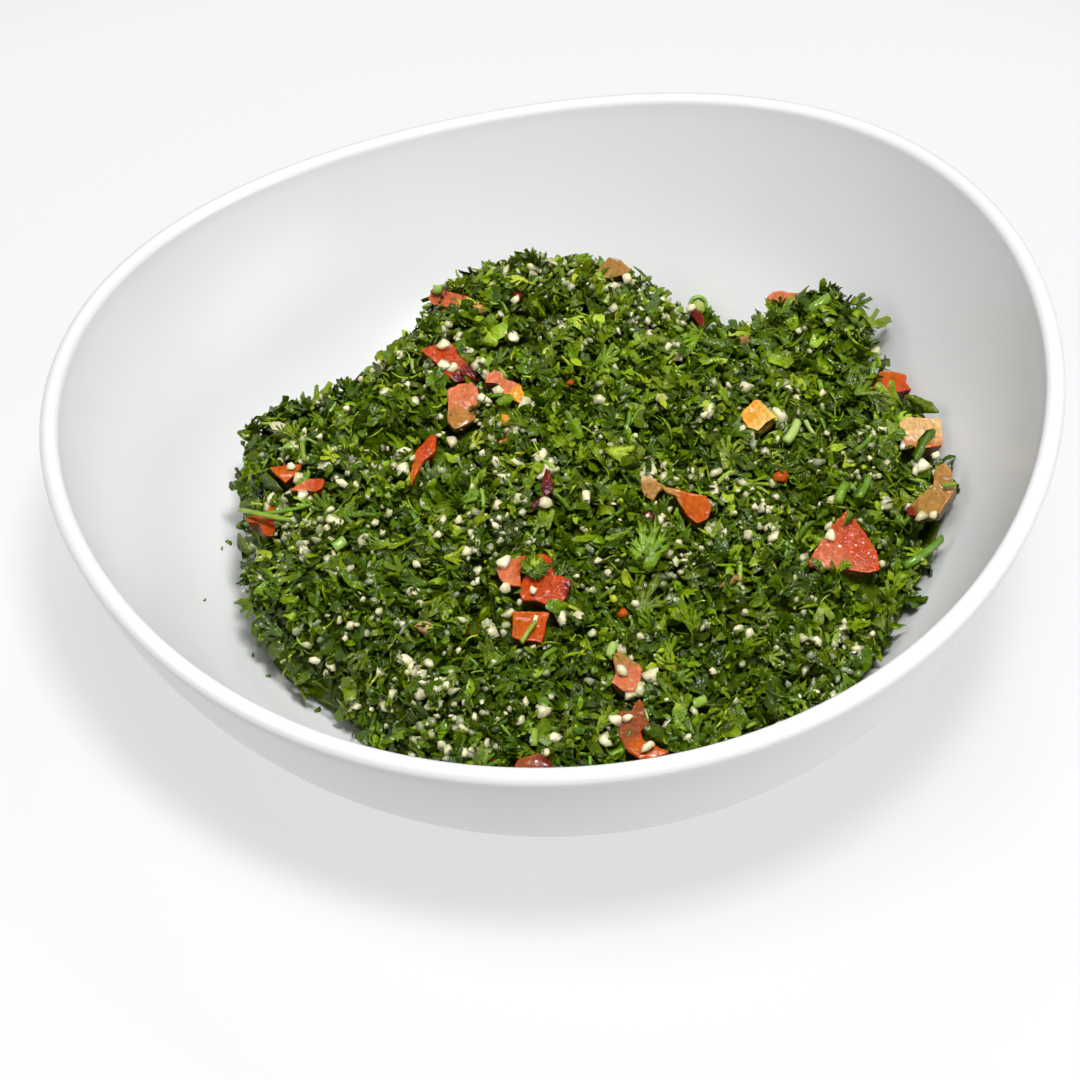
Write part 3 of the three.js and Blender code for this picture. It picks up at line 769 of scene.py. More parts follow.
# Where along a line of sight the part lies, as shares of the camera's distance.
SIGHT_SHARES = np.linspace(0.82, 1.18, 600)

Facet = namedtuple("Facet", "middle normal corners")


def facet_of(index, dice):
    """The top face of a tomato piece: a point on it, the way it faces and its corners, in mm."""
    low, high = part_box(f"tomato_dice_{index:02d}")
    middle = Vector(((low[0] + high[0]) / 2 / MM - FOOT_AT[0],
                     (low[1] + high[1]) / 2 / MM - FOOT_AT[1], high[2] / MM - 1 + dice.rise))
    front, side = (math.radians(turn) for turn in dice.lean)
    normal = Vector((math.sin(side), -math.sin(front), math.cos(front))).normalized()
    away = (middle - Vector(CAMERA_TARGET)).dot(VIEW_IN) + CAMERA_DISTANCE
    corners = []
    for right, up in zip(dice.outline[::2], dice.outline[1::2]):
        off = (VIEW_RIGHT * right + VIEW_UP * (up - dice.rise * UPRIGHT_SEEN)) * away / CAMERA_DISTANCE
        corners.append(middle + off - VIEW_IN * (normal.dot(off) / normal.dot(VIEW_IN)))
    return Facet(middle, normal, corners)


FACETS = [facet_of(i, dice) for i, dice in enumerate(DICE, start=1)]


def outline_distance(x, y, corners):
    """Distance in plan from points to a closed outline, negative inside it."""
    nearest = np.full(x.shape, np.inf)
    inside = np.zeros(x.shape, bool)
    for a, b in zip(corners, corners[1:] + corners[:1]):
        ex, ey = b.x - a.x, b.y - a.y
        share = np.clip(((x - a.x) * ex + (y - a.y) * ey) / (ex * ex + ey * ey), 0, 1)
        nearest = np.minimum(nearest, np.hypot(x - a.x - share * ex, y - a.y - share * ey))
        inside ^= ((a.y > y) != (b.y > y)) & (x < a.x + (y - a.y) * ex / (ey or 1))
    return np.where(inside, -nearest, nearest)


def facet_height(x, y, facet):
    slope = facet.normal.x * (x - facet.middle.x) + facet.normal.y * (y - facet.middle.y)
    return facet.middle.z - slope / facet.normal.z


def make_room(x, y, z, depth):
    """Lowers the salad's surface under the tomato pieces and just round them."""
    for facet in FACETS:
        near = np.clip(1 - outline_distance(x, y, facet.corners) / POCKET_MARGIN, 0, 1)
        lower = np.minimum(z, facet_height(x, y, facet) - depth)
        z = z + (lower - z) * near
    return z


def salad_surface(x, y):
    """The height of what shows from above: leaves, or the top of a tomato piece."""
    z = make_room(x, y, heap_top(x, y), LEAF_POCKET)
    for facet in FACETS:
        z = np.where(outline_distance(x, y, facet.corners) < 0, facet_height(x, y, facet), z)
    return z


def off_tomato(x, y):
    """0 on a tomato piece and just in front of it, rising to 1 a little way off it."""
    free = np.ones_like(x)
    for facet in FACETS:
        for ahead in (0, SIGHT_ROOM):
            off = outline_distance(x, y + ahead, facet.corners)
            free = np.minimum(free, np.clip((off + 0.3) / 1.2, 0, 1))
    return free


def seen_spots(places, surface):
    """Where a surface shows what is this far right and up of the view's middle, in mm."""
    aims = np.array([VIEW_IN * CAMERA_DISTANCE + VIEW_RIGHT * right + VIEW_UP * up
                     for right, up, *_ in places])
    eye = np.array(Vector(CAMERA_TARGET) - VIEW_IN * CAMERA_DISTANCE)
    spots = eye + aims[:, None, :] * SIGHT_SHARES[None, :, None]
    below = spots[..., 2] < surface(spots[..., 0], spots[..., 1])
    return [Vector(spots[k, i]) for k, i in enumerate(below.argmax(axis=1))]


# ---- loose pieces: shapes
def bent(point, curl, fold, twist):
    """Folds a flat point along its middle, rolls it up along x and twists it. In metres."""
    x, y, z = point
    z += fold * abs(y)
    turn = curl * x
    if abs(curl) > 1e-3:
        x = math.sin(turn) / curl - z * math.sin(turn)
        z = (1 - math.cos(turn)) / curl + z * math.cos(turn)
    c, s = math.cos(twist * x), math.sin(twist * x)
    return Vector((x, y * c - z * s, y * s + z * c)) * MM


def from_bmesh(name, shape):
    """A smooth mesh of a shape, whose edges stay sharp where they were set so."""
    for face in shape.faces:
        face.smooth = True
    piece = mesh_object(name, [], [])
    shape.to_mesh(piece.data)
    shape.free()
    return piece


def prism(name, points, sides):
    """Rings of points joined one to the next, with closed ends."""
    last = len(points) - sides
    faces = [(a + k, a + (k + 1) % sides, a + (k + 1) % sides + sides, a + k + sides)
             for a in range(0, last, sides) for k in range(sides)]
    faces += [tuple(reversed(range(sides))), tuple(range(last, last + sides))]
    return mesh_object(name, points, faces)


def leaf(name, draw, lobes, spread, finger, teeth):
    """A chopped leaf with rounded lobes round a heart, 1 mm from heart to longest tip. The lobes
    swell to a share "finger" of their spacing, and each has a raised rib."""
    bends = draw.uniform(-1.5, 1.5), draw.uniform(-0.15, 0.55), draw.uniform(-0.8, 0.8)
    thickness = 0.035
    shape = bmesh.new()

    def add(x, y, z):
        return shape.verts.new(bent((x, y, z), *bends))

    def polar(reach, turn, z):
        return add(reach * math.cos(turn), reach * math.sin(turn), z)

    heart = add(0, 0, thickness)
    under = add(0.1, 0, -thickness)
    root = [add(-0.28, -0.06, 0), add(-0.28, 0.06, 0)]
    step = 2 * spread / lobes
    outline = [root[0], polar(draw.uniform(0.22, 0.4), -spread, draw.uniform(-0.05, 0.05))]
    shape.faces.new((heart, *outline))
    for k in range(lobes):
        heading = -spread + step * (k + 0.5) + draw.uniform(-0.06, 0.06)
        off = abs(k + 0.5 - lobes / 2) / lobes
        reach = (1 - 0.7 * off) * draw.uniform(0.78, 1.08)
        half = step * finger * draw.uniform(0.42, 0.55)
        wave = draw.uniform(-0.12, 0.12)
        rows = [(-1, 0.62, -1), (-0.72, 0.93, 1), (0.1, 1.0, 0.4), (0.72, 0.90, 1), (1, 0.60, -1)]
        if teeth:
            rows = [(-1, 0.55, -1), (-0.9, 0.84, 1), (-0.4, 0.80, 0), (0.05, 1.04, 1),
                    (0.45, 0.79, 0), (0.95, 0.82, 1), (1, 0.52, -1)]
        rib = polar(reach * 0.62, heading, thickness + draw.uniform(0.0, 0.10))
        tips = [polar(reach * share, heading + half * turn, wave * up) for turn, share, up in rows]
        notch = draw.uniform(0.22, 0.40) if finger < 0.9 else draw.uniform(0.45, 0.6)
        tips.append(polar(notch, -spread + step * (k + 1), draw.uniform(-0.06, 0.06)))
        shape.faces.new((heart, outline[-1], rib))
        for point in tips:
            shape.faces.new((rib, outline[-1], point))
            outline.append(point)
        shape.faces.new((heart, rib, outline[-1]))
    shape.faces.new((heart, outline[-1], root[1]))
    shape.faces.new((heart, root[1], root[0]))
    outline.append(root[1])
    for a, b in zip(outline, outline[1:] + outline[:1]):
        shape.faces.new((under, b, a))
        shape.edges.get((a, b)).smooth = False
    return from_bmesh(name, shape)


def curl_of_leaf(name, draw, width, bend, steps=5):
    """A narrow cut of leaf that rolls up along its length, 1 mm long, ragged at its edges."""
    curl = draw.uniform(0.4, 1.0) * bend * draw.choice((-1, 1))
    bends = curl, draw.uniform(-0.2, 0.8), draw.uniform(-1.6, 1.6)
    points = []
    for i in range(steps + 1):
        x = i / steps - 0.5
        half = width / 2 * (1 - (2 * abs(x)) ** 3 * 0.75)
        left, right = draw.uniform(0.75, 1.25), draw.uniform(0.75, 1.25)
        low = (x, -half * left, draw.uniform(-0.02, 0.02))
        high = (x + draw.uniform(-0.03, 0.03), half * right, draw.uniform(-0.02, 0.02))
        points += [bent(p, *bends) for p in (low, (x, 0, 0.03), high, (x, 0, -0.03))]
    shape = bmesh.new()
    corners = [shape.verts.new(point) for point in points]
    rows = [corners[i:i + 4] for i in range(0, len(corners), 4)]
    for low, high in zip(rows, rows[1:]):
        for k in range(4):
            m = (k + 1) % 4
            shape.faces.new((low[k], low[m], high[m], high[k]))
        for k in (0, 2):
            shape.edges.get((low[k], high[k])).smooth = False
    shape.faces.new(list(reversed(rows[0])))
    shape.faces.new(rows[-1])
    return from_bmesh(name, shape)


def strip(name, draw, width, depth):
    """A narrow curved shred, 1 mm long, three-sided."""
    bow, rise, twist = draw.uniform(-0.9, 0.9), draw.uniform(-0.7, 0.7), draw.uniform(-2.0, 2.0)
    points = []
    for x in (-0.5, -0.25, 0.0, 0.25, 0.5):
        taper = 1 - abs(2 * x) ** 2 * draw.uniform(0.3, 0.8)
        centre = Vector((x, bow * (x * x - 0.1), rise * (x * x - 0.1)))
        for corner in range(3):
            turn = twist * x + corner * TURN / 3
            side = Vector((0, width / 2 * math.cos(turn), depth / 2 * math.sin(turn)))
            points.append((centre + side * taper) * MM)
    return prism(name, points, 3)


def tube(name, draw, sides, flat=0.0):
    """A cut stem, 1 mm long and 0.22 mm thick, slightly bowed, with clean cut ends."""
    bow = draw.uniform(-0.25, 0.25)
    points = []
    for i in range(4):
        x = i / 3 - 0.5
        for k in range(sides):
            turn = TURN * k / sides
            groove = 1 - flat * (k % 2)
            points.append(((x + 0.05 * math.cos(turn)) * MM,
                           (0.11 * groove * math.cos(turn) + bow * x * x) * MM,
                           0.11 * groove * math.sin(turn) * MM))
    return prism(name, points, sides)


def kernel(name, draw, corners):
    """A cracked kernel with blunt corners and flat breaks, 1 mm across."""
    shape = bmesh.new()
    squash = Vector((draw.uniform(0.85, 1.3), draw.uniform(0.7, 1.0), draw.uniform(0.55, 0.85)))
    for _ in range(corners):
        way = Vector([draw.gauss(0, 1) for _ in range(3)]).normalized()
        shape.verts.new(way * squash * 0.5 * draw.uniform(0.85, 1.1) * MM)
    bmesh.ops.convex_hull(shape, input=shape.verts)
    loose = [vertex for vertex in shape.verts if not vertex.link_faces]
    bmesh.ops.delete(shape, geom=loose, context="VERTS")
    return from_bmesh(name, shape)


def nugget(name, draw, level, rough, squash):
    """An uneven rounded crumb or grain, 1 mm across."""
    shape = bmesh.new()
    bmesh.ops.create_icosphere(shape, subdivisions=level, radius=0.5)
    shift = Vector([draw.uniform(0, 50) for _ in range(3)])
    for vertex in shape.verts:
        vertex.co *= 1 + noise.noise(vertex.co * 2.6 + shift) * rough
        vertex.co = Vector([part * share for part, share in zip(vertex.co, squash)]) * MM
    return from_bmesh(name, shape)


def onion_ring(name):
    """A ring cut off a spring onion, 1 mm in radius."""
    section = ((1.0, -0.4), (1.05, 0.0), (1.0, 0.4), (0.70, 0.4), (0.68, 0.0), (0.70, -0.4))
    n, steps = len(section), 18
    points = []
    for turn in (TURN * i / steps for i in range(steps)):
        points += [(r * math.cos(turn) * MM, r * math.sin(turn) * MM, z * MM) for r, z in section]
    faces = []
    for i in range(steps):
        a, b = i * n, (i + 1) % steps * n
        faces += [(a + k, a + (k + 1) % n, b + (k + 1) % n, b + k) for k in range(n)]
    return mesh_object(name, points, faces)


def prototypes(name, seed, count, make):
    """A collection of differing shapes of one kind, kept out of the scene itself."""
    draw = random.Random(seed)
    group = bpy.data.collections.new(name)
    for i in range(count):
        piece = make(f"{name}_{i:02d}", draw)
        outward(piece.data)
        bpy.context.scene.collection.objects.unlink(piece)
        group.objects.link(piece)
    return group


# ---- loose pieces: scattering
# Painted light: how much lighter the pieces' shade gets for each metre towards the back, as if the heap's
# top caught more light.
PAINTED_LIGHT_TOWARDS_BACK = 1.3
# How many more grains are sown than are wanted, as most of the surface refuses them.
GRAIN_LOSS = 2.6


def scatter_tree():
    """Strews one kind of piece over the salad's surface and lifts it clear of the bowl."""
    tree = GeometryTree(
        "strewn_pieces", Collection=("Kinds",), Object=("Bowl",), Material=("Material",),
        Int=("Kind count", "Seed"),
        Float=("Density", "Smallest", "Largest", "Tilt", "Lowest", "Highest", "Bowl gap",
               "Shade low", "Shade high", "Grainy"),
    )
    given = tree.inputs

    def roll(low, high, step, data_type="FLOAT"):
        return tree.random(low, high, tree.math("ADD", given["Seed"], step), data_type)

    share = tree.out("ShaderNodeMix", {
        "Factor": given["Grainy"], "A": tree.attribute("leafy"), "B": tree.attribute("grainy"),
    }, data_type="FLOAT")
    spread = tree.node("GeometryNodeDistributePointsOnFaces", {
        "Mesh": given["Geometry"], "Density": tree.math("MULTIPLY", given["Density"], share),
        "Seed": given["Seed"],
    }, distribute_method="RANDOM").outputs
    lift = roll(0.0, 1.0, 1)
    raised = tree.math("MULTIPLY", tree.between(given["Lowest"], given["Highest"], lift), MM)
    lifted = tree.out("GeometryNodeSetPosition", {
        "Geometry": spread["Points"], "Offset": tree.vector("SCALE", spread["Normal"], scale=raised),
    })
    tilt = given["Tilt"]
    back = tree.math("MULTIPLY", tilt, -1)
    lean = tree.out("FunctionNodeEulerToRotation", {"Euler": tree.out("ShaderNodeCombineXYZ", {
        "X": roll(back, tilt, 2), "Y": roll(back, tilt, 3), "Z": roll(0.0, TURN, 4),
    })})
    turned = tree.out("FunctionNodeRotateRotation", {
        "Rotation": spread["Rotation"], "Rotate By": lean,
    }, rotation_space="LOCAL")
    kinds = tree.out("GeometryNodeCollectionInfo", {
        "Collection": given["Kinds"], "Separate Children": True, "Reset Children": True,
    })
    last = tree.math("SUBTRACT", given["Kind count"], 1)
    size = tree.math("POWER", roll(0.0, 1.0, 6), 1.4)
    strewn = tree.out("GeometryNodeInstanceOnPoints", {
        "Points": lifted, "Instance": kinds, "Pick Instance": True,
        "Instance Index": roll(0, last, 5, "INT"), "Rotation": turned,
        "Scale": tree.between(given["Smallest"], given["Largest"], size),
    })
    shade = roll(given["Shade low"], given["Shade high"], 7)
    # Painted shade: pieces that sit lower get a darker tint, those raised higher a lighter one.
    shade = tree.math("ADD", shade, tree.math("MULTIPLY", tree.math("SUBTRACT", lift, 0.5), 0.3))
    spot = tree.out("GeometryNodeInputPosition")
    depth = tree.out("ShaderNodeSeparateXYZ", {"Vector": spot}, "Y")
    # Painted light: pieces further back get a lighter tint.
    shade = tree.math("MULTIPLY_ADD", depth, PAINTED_LIGHT_TOWARDS_BACK, shade)
    shaded = tree.out("GeometryNodeStoreNamedAttribute", {
        "Geometry": strewn, "Name": "tint", "Value": shade,
    }, data_type="FLOAT", domain="INSTANCE")
    real = tree.out("GeometryNodeRealizeInstances", {"Geometry": shaded})

    bowl = tree.out("GeometryNodeObjectInfo", {"Object": given["Bowl"]}, "Geometry")
    wall = tree.out("GeometryNodeProximity", {"Geometry": bowl, "Sample Position": spot},
                    "Position", target_element="FACES")
    normal = tree.out("GeometryNodeSampleNearestSurface", {
        "Mesh": bowl, "Value": tree.out("GeometryNodeInputNormal"), "Sample Position": spot,
    }, data_type="FLOAT_VECTOR")
    height = tree.vector("DOT_PRODUCT", tree.vector("SUBTRACT", spot, wall), normal, output="Value")
    gap = tree.math("MULTIPLY", given["Bowl gap"], MM)
    short = tree.math("MAXIMUM", tree.math("SUBTRACT", gap, height), 0.0)
    tree.finish(tree.out("GeometryNodeSetPosition", {
        "Geometry": real, "Offset": tree.vector("SCALE", normal, scale=short),
    }))
    return tree


def inner_wall_surface():
    """The bowl's inner surface alone, facing the salad, for keeping pieces off it."""
    angle, share = disc_grid(90)
    reach = (around(RIM_RADIUS, angle) - LIP_RADIUS) * share
    x, y = reach * np.cos(angle), reach * np.sin(angle)
    points = [place(*p) for p in zip(x.flat, y.flat, bowl_floor(x, y).flat)]
    return mesh_object("inner_wall", points, grid_faces(90))


KINDS = (
    # name, shape maker, how many shapes, material, count, sizes, tilt, lift, shades, grainy
    # The underlayer, sunk below the other leaves, has the darkest shades: painted shade.
    ("parsley_underlayer", lambda n, d: leaf(n, d, 3, 1.2, 0.9, False), 8, LEAF,
     1600, (3.5, 5.5), 0.6, (-1.8, -0.4), (0.0, 0.35), 0),
    ("parsley_leaves", lambda n, d: leaf(n, d, d.choice((2, 3, 3)), d.uniform(0.8, 1.4),
                                         d.uniform(0.75, 1.0), d.random() < 0.6),
     16, LEAF, 2900, (2.4, 5.0), 1.1, (-0.9, 1.2), (0.1, 0.80), 0),
    ("parsley_fans", lambda n, d: leaf(n, d, d.choice((4, 5)), d.uniform(0.7, 1.1),
                                       d.uniform(0.6, 0.8), False),
     10, LEAF, 900, (3.8, 6.5), 0.9, (0.0, 1.5), (0.2, 0.85), 0),
    ("parsley_curls", lambda n, d: curl_of_leaf(n, d, d.uniform(0.24, 0.45), d.uniform(1.0, 3.2)),
     14, LEAF, 3600, (2.8, 6.4), 1.2, (-0.4, 1.6), (0.1, 0.90), 0),
    ("parsley_shreds", lambda n, d: strip(n, d, 0.14, 0.10), 10, LEAF,
     1500, (2.6, 6.8), 0.8, (-0.4, 1.7), (0.25, 1.0), 0),
    ("parsley_crumbs", lambda n, d: nugget(n, d, 1, 0.8, (1.2, 0.9, 0.5)), 8, LEAF,
     1500, (0.7, 1.7), 1.5, (-0.4, 1.8), (0.25, 0.95), 0),
    ("chopped_stems", lambda n, d: tube(n, d, 6, 0.15), 6, STEM,
     240, (2.5, 6.0), 0.6, (0.0, 1.5), (0.0, 0.8), 0),
    ("bulgur", lambda n, d: kernel(n, d, 15), 20, GRAIN,
     1900, (1.0, 2.9), 1.5, (0.3, 1.8), (0.0, 0.9), 1),
)


def strew(cover, wall):
    """Makes each kind of loose piece, one object for a kind."""
    tree = scatter_tree()
    area = sum(face.area for face in cover.data.polygons)
    done = []
    for order, kind in enumerate(KINDS):
        name, make, shapes, material, count, sizes, tilt, lift, shades, grainy = kind
        group = prototypes(name + "_shapes", 100 + order, shapes, make)
        piece = add_object(name, cover.data.copy())
        tree.run(piece, {
            "Kinds": group, "Kind count": shapes, "Bowl": wall, "Material": material,
            "Density": count / area * (GRAIN_LOSS if grainy else 1.0), "Seed": 1000 * (order + 1),
            "Smallest": sizes[0], "Largest": sizes[1], "Tilt": tilt, "Lowest": lift[0],
            "Highest": lift[1], "Bowl gap": LOOSE_GAP, "Shade low": shades[0],
            "Shade high": shades[1], "Grainy": float(grainy),
        })
        for shape in list(group.objects):
            bpy.data.objects.remove(shape)
        bpy.data.collections.remove(group)
        done.append(piece)
    return done


# ---- pieces laid one by one
# All but the tomato bits are given as they show from the front, in millimetres right and up of
# the view's middle.
# Bulgur kernels: right, up, length, turn.
LAID_KERNELS = (
    (-17.5, 31, 2.6, 10), (-17.3, 27, 2.6, 20), (-15.7, 26.6, 2.8, 0), (-12.5, 29.8, 3, -10),
    (-10.5, 27, 3, 30), (-9.3, 20.2, 3.2, -10), (-6.5, 21.8, 3.2, 80), (-1.5, 18.8, 3.8, 75),
    (-3.5, 32.6, 3.4, 30), (-25.3, 9.6, 3, 20), (-25.5, 6.2, 3.2, 60), (-15.7, 11.6, 3, -60),
    (-23.5, 8.4, 2, 40), (-12.3, 5.6, 3.2, 0), (-21.7, 2.4, 2.8, 80), (-18.1, 13.2, 2.2, 0),
    (-50.1, 14.2, 4, -20), (-49.3, 12.2, 2.4, 30), (-49.5, 7.6, 2.2, -30), (-47.7, 6.8, 2, 20),
    (-45.3, 8, 2.8, 40), (-46.3, 4.4, 2.6, 0), (-41.1, 6.6, 3.6, 20), (-39.3, -3.8, 3.8, 20),
    (-45.5, 1, 2.8, -10), (-48.5, 1, 3.8, 50), (-51.7, 0.2, 3, 70), (-49.7, -1.8, 2.6, 40),
    (-38.3, -4.8, 2.8, 0), (-52.7, -1.4, 2.8, 70), (-50.7, -3, 2.6, 60), (-45.1, -5.2, 3.6, 20),
    (-45.5, -9.6, 3.4, 60), (-43.9, -10.6, 3, -30), (-45.1, -11.6, 2.4, 0), (43.1, 22.8, 3.8, 30),
    (36.1, 17.8, 3.4, 70), (49.7, 17, 4, -50), (43.9, 12.4, 3.8, 85), (42.3, 14.2, 2.4, 60),
    (50.3, 23.2, 3.4, 20), (51.7, 22.2, 2.8, -40), (53.1, 20, 2.8, 80), (74.3, 11, 2.2, 60),
    (72.5, 13.8, 2.2, 0), (70.5, 14.2, 2, 50), (78.3, 6.8, 4.2, -10), (76.7, 5.6, 2.2, 80),
    (71.1, 6.8, 3, 70), (80.9, 9, 2, 60), (77.9, -3.2, 2.6, 20), (80.3, -3, 2, 70), (70.7, -0.6, 3, 60),
    (59.7, -7.2, 3.2, 70), (60.3, -0.2, 3.6, 40), (70.9, -0.8, 3.4, 50), (36.7, 1.6, 3.6, -20),
    (36.9, 5.4, 2.6, 30), (36.7, -5.8, 3.6, 10), (38.3, -6.8, 2.6, 60), (23.5, 6, 4.2, 15),
    (21.9, 5.2, 2.6, 70), (26.3, 4.6, 2.4, 60), (15.9, -0.6, 2.4, -20), (-5.3, -12.4, 3.2, 70),
    (-12.7, -10.2, 2.8, 0), (-11.1, -16.2, 2, 40), (-10.5, -14, 2.2, 70), (-4.9, -17.6, 2.8, 10),
    (0.3, -17.8, 2.4, -40), (3.3, -8.6, 2.6, 30), (0.9, -24, 2, 80), (-4.3, -22.6, 3.2, 30),
    (-6.9, -23.6, 3.6, 40), (-7.9, -26.2, 3.4, -20), (6.3, -23.2, 3.4, 85), (9.7, -23.6, 3.4, -20),
    (18.3, -33.8, 3.2, -50), (24.5, -35.2, 4.2, 10), (21.5, -37.2, 3.8, -70), (23.5, -37.6, 2.4, 60),
    (18.3, -29.6, 2.8, 80), (12.3, -26.6, 2.2, 20), (19.9, -39, 2.4, 0), (16.9, -44, 3.4, 70),
    (19.3, -43.6, 2.6, 20), (15.1, -47.6, 3.6, -70), (23.3, -49.2, 2.8, 25), (27.5, -45.2, 3.2, 70),
    (4.9, -47.4, 3.2, 20), (2.5, -42, 3.8, 30), (1.5, 8.8, 4.6, 30), (0.7, 6.8, 2.8, 10),
    (-2.7, 7.6, 3, -20), (4.5, 6, 2.4, 30), (2.9, -0.6, 3.4, 20), (-2.1, 0.2, 3, 70), (-5.7, 4.2, 3.2, 60),
    (2.5, 5.6, 3, 60), (10.9, 0.4, 3.2, -60), (-6.7, -1, 3.2, 40), (29.9, 28.6, 4.6, 85),
    (29.1, 31, 2.4, 0), (41.5, 26.8, 2.6, 30), (-39.3, -14.2, 3.4, -30), (-17.7, -4, 3, 50),
    (-18.7, -7, 2.8, 20), (-25.1, -32, 3.4, 30), (-23.5, -33.6, 3, 80), (-22.1, -35.2, 3.4, 0),
    (-19.9, -32.8, 3, -40), (-17.9, -38, 3.4, 40), (-21.3, -38.4, 3, 60), (-16.5, -36.2, 2.6, 0),
    (-19.7, -41.4, 3, 20), (-3.1, 40, 3, 80), (19.1, 44.2, 2.8, 10), (21.9, 43.6, 2.6, 60),
    (68.9, 29.6, 3, 40), (13.5, 20, 3, 20), (25.9, 20.4, 3.2, -30), (32.2, 38.4, 2.8, 20),
)
# Cut stems: from right, up, to right, up, thickness, shade.
LAID_STEMS = (
    (-57, -1.9, -46.1, -4.4, 1, 0.6), (-54, -3, -43.7, -1.2, 0.8, 0.5), (74.7, -13.4, 82.1, -8, 1.6, 0.25),
    (51.1, 11.4, 53.3, 15.2, 2, 1), (55.5, 37.8, 59.5, 40.4, 2.2, 0.4), (61.1, -0.4, 62.5, 3.2, 2.1, 0.45),
    (65.3, 0, 67.5, 4.4, 1.5, 0.25), (0.7, -45.6, 0.7, -49, 1.4, 0.6),
    (15.5, -31.2, 16.5, -28.4, 1.8, 0.9), (-39.1, -9.6, -37.1, -8, 2, 0.8),
    (68.5, 27.8, 67.9, 24.6, 1, 0.5), (-19.3, 41.9, -17.7, 42, 2, 0.7), (82.1, 2.8, 84.9, 3.2, 0.9, 0.5),
    (-1.9, -28.2, 0.9, -24.2, 0.9, 0.6), (32.3, -40.8, 34.7, -39.8, 2, 0.7),
)
# Narrow cuts of leaf: from right, up, to right, up, width as a share of the length, shade.
LAID_CUTS = (
    (33.9, 31.4, 43.5, 29.6, 0.32, 0.45), (5.9, 19, 10.5, 12, 0.5, 0.75), (80.3, 14, 76.7, 7.6, 0.4, 0.5),
    (74.5, 21, 81.5, 17.2, 0.27, 0.6), (22.9, -45.6, 28.3, -48.4, 0.5, 0.35),
    (-10.5, 33.6, -6.9, 31, 0.7, 0.95), (-53.3, 5.2, -49.7, 1.8, 0.4, 0.35),
    (-57.9, -6.6, -55.5, -10.6, 0.4, 0.6), (-57.7, -1.2, -53.7, -0.4, 0.45, 0.4),
    (3.1, -21.2, 7.5, -21.6, 0.6, 0.7), (56.9, -4, 60.1, -1.6, 0.45, 0.5),
    (62.1, -4.8, 63.9, -2.4, 0.6, 0.65), (-6.7, 19.2, -3.3, 20.4, 0.7, 0.75),
    (52.9, -8, 56.3, -4, 0.3, 0.5),
)
# Whole leaflets: stalk end right, up, heading, length, lobes, shade. In the round cluster near right 1, up
# -14, the shade is painted light and shade: lighter for leaflets heading up, darker for those heading down.
LAID_LEAFLETS = (
    (23.3, -12.2, 90, 9.4, 6, 0.8), (16.3, 9.6, -20, 6.5, 4, 0.9), (0.7, -13, 90, 3, 5, 0.95),
    (0.2, -13.2, 135, 3.1, 5, 0.85), (0, -13.6, 180, 3.2, 5, 0.7), (0.2, -14, 225, 3, 5, 0.5),
    (0.7, -14.2, 270, 2.9, 5, 0.4), (1.2, -14, 315, 3, 5, 0.5), (1.4, -13.6, 0, 3.1, 5, 0.65),
    (1.2, -13.2, 45, 3.1, 5, 0.9), (0.7, -14.4, 80, 2.6, 5, 0.8), (-2.7, -18.4, 20, 3, 3, 0.5),
    (5.9, -15, 60, 4, 4, 0.35), (7.1, -13.6, -20, 3.6, 3, 0.3), (21.9, -22, 60, 8, 5, 0.6),
)
# Crumbs of parsley stuck to the bare side of the bowl: right, up, size.
BOWL_CRUMBS = (
    (-60.3, -8.6, 1.4), (-55.5, -31, 1.2), (-42.5, -42, 1.6), (-61.7, -9.6, 0.9), (-65.1, -20, 0.8),
    (-52.5, -35.2, 1),
)
# Small bits of tomato, in plan: x, y, length, width, colour.
TOMATO_BITS = (
    (-2.7, 47.9, 4, 2.4, DEEP_RED), (-4.6, 14.7, 4.4, 3.8, AMBER), (44.3, 44.3, 4, 2.6, BEIGE),
    (-10.2, -36.7, 3.4, 2.6, ORANGE), (-20.2, -37.9, 4.5, 3.4, PALE), (-6, -67, 3.5, 2.6, DEEP_RED),
    (39, -25.1, 5.4, 2.5, BEIGE), (50, 4, 3.8, 3, ORANGE), (17.5, -34.3, 2.6, 2.4, ORANGE),
    (23.4, -11.7, 4.3, 3.1, MAROON), (-12.4, 26.7, 4, 2.6, DEEP_RED), (-1.5, 5.5, 1.8, 1.6, AMBER),
    (-5, 9.5, 3, 2.4, SALMON), (8, 24.5, 2, 1.6, ORANGE), (66, 30, 2.4, 1.6, DEEP_RED),
)
# A ring and a round cut end of spring onion: right, up, size.
LAID_ONION = ((33.4, 39.0, 2.1), (-48.0, 10.2, 3.4))
STEM_THICKNESS = 0.22
# How deep a laid length may run, as a share of what shows of it.
STEEPEST = 0.6
# One stream of random numbers for all that is laid one by one.
hand = random.Random(5)


def basis(spot, along, across, size):
    """A matrix that sets a 1 mm shape at a spot, turned to a direction and sized."""
    x = along.normalized()
    z = x.cross(across).normalized()
    y = z.cross(x)
    turned = Matrix([x * size[0], y * size[1], z * size[2]]).transposed().to_4x4()
    return Matrix.Translation(place(*spot)) @ turned


def seen_way(turn):
    """A direction that shows at this many degrees from the right, lying back by 30 degrees."""
    angle = math.radians(turn)
    return Vector((math.cos(angle), math.sin(angle) * 0.87, math.sin(angle) * 0.5))


def merged(name, parts, material, attribute="tint"):
    """One mesh of many shapes, each with its matrix and shade. The shapes are used up."""
    points, faces, shades = [], [], []
    for shape, matrix, shade in parts:
        start = len(points)
        outward(shape.data)
        points += [matrix @ vertex.co for vertex in shape.data.vertices]
        faces += [[start + i for i in face.vertices] for face in shape.data.polygons]
        shades += [shade] * len(shape.data.vertices)
        bpy.data.objects.remove(shape)
    piece = mesh_object(name, points, faces, material)
    outward(piece.data)
    set_attribute(piece.data, attribute, shades)
    return piece


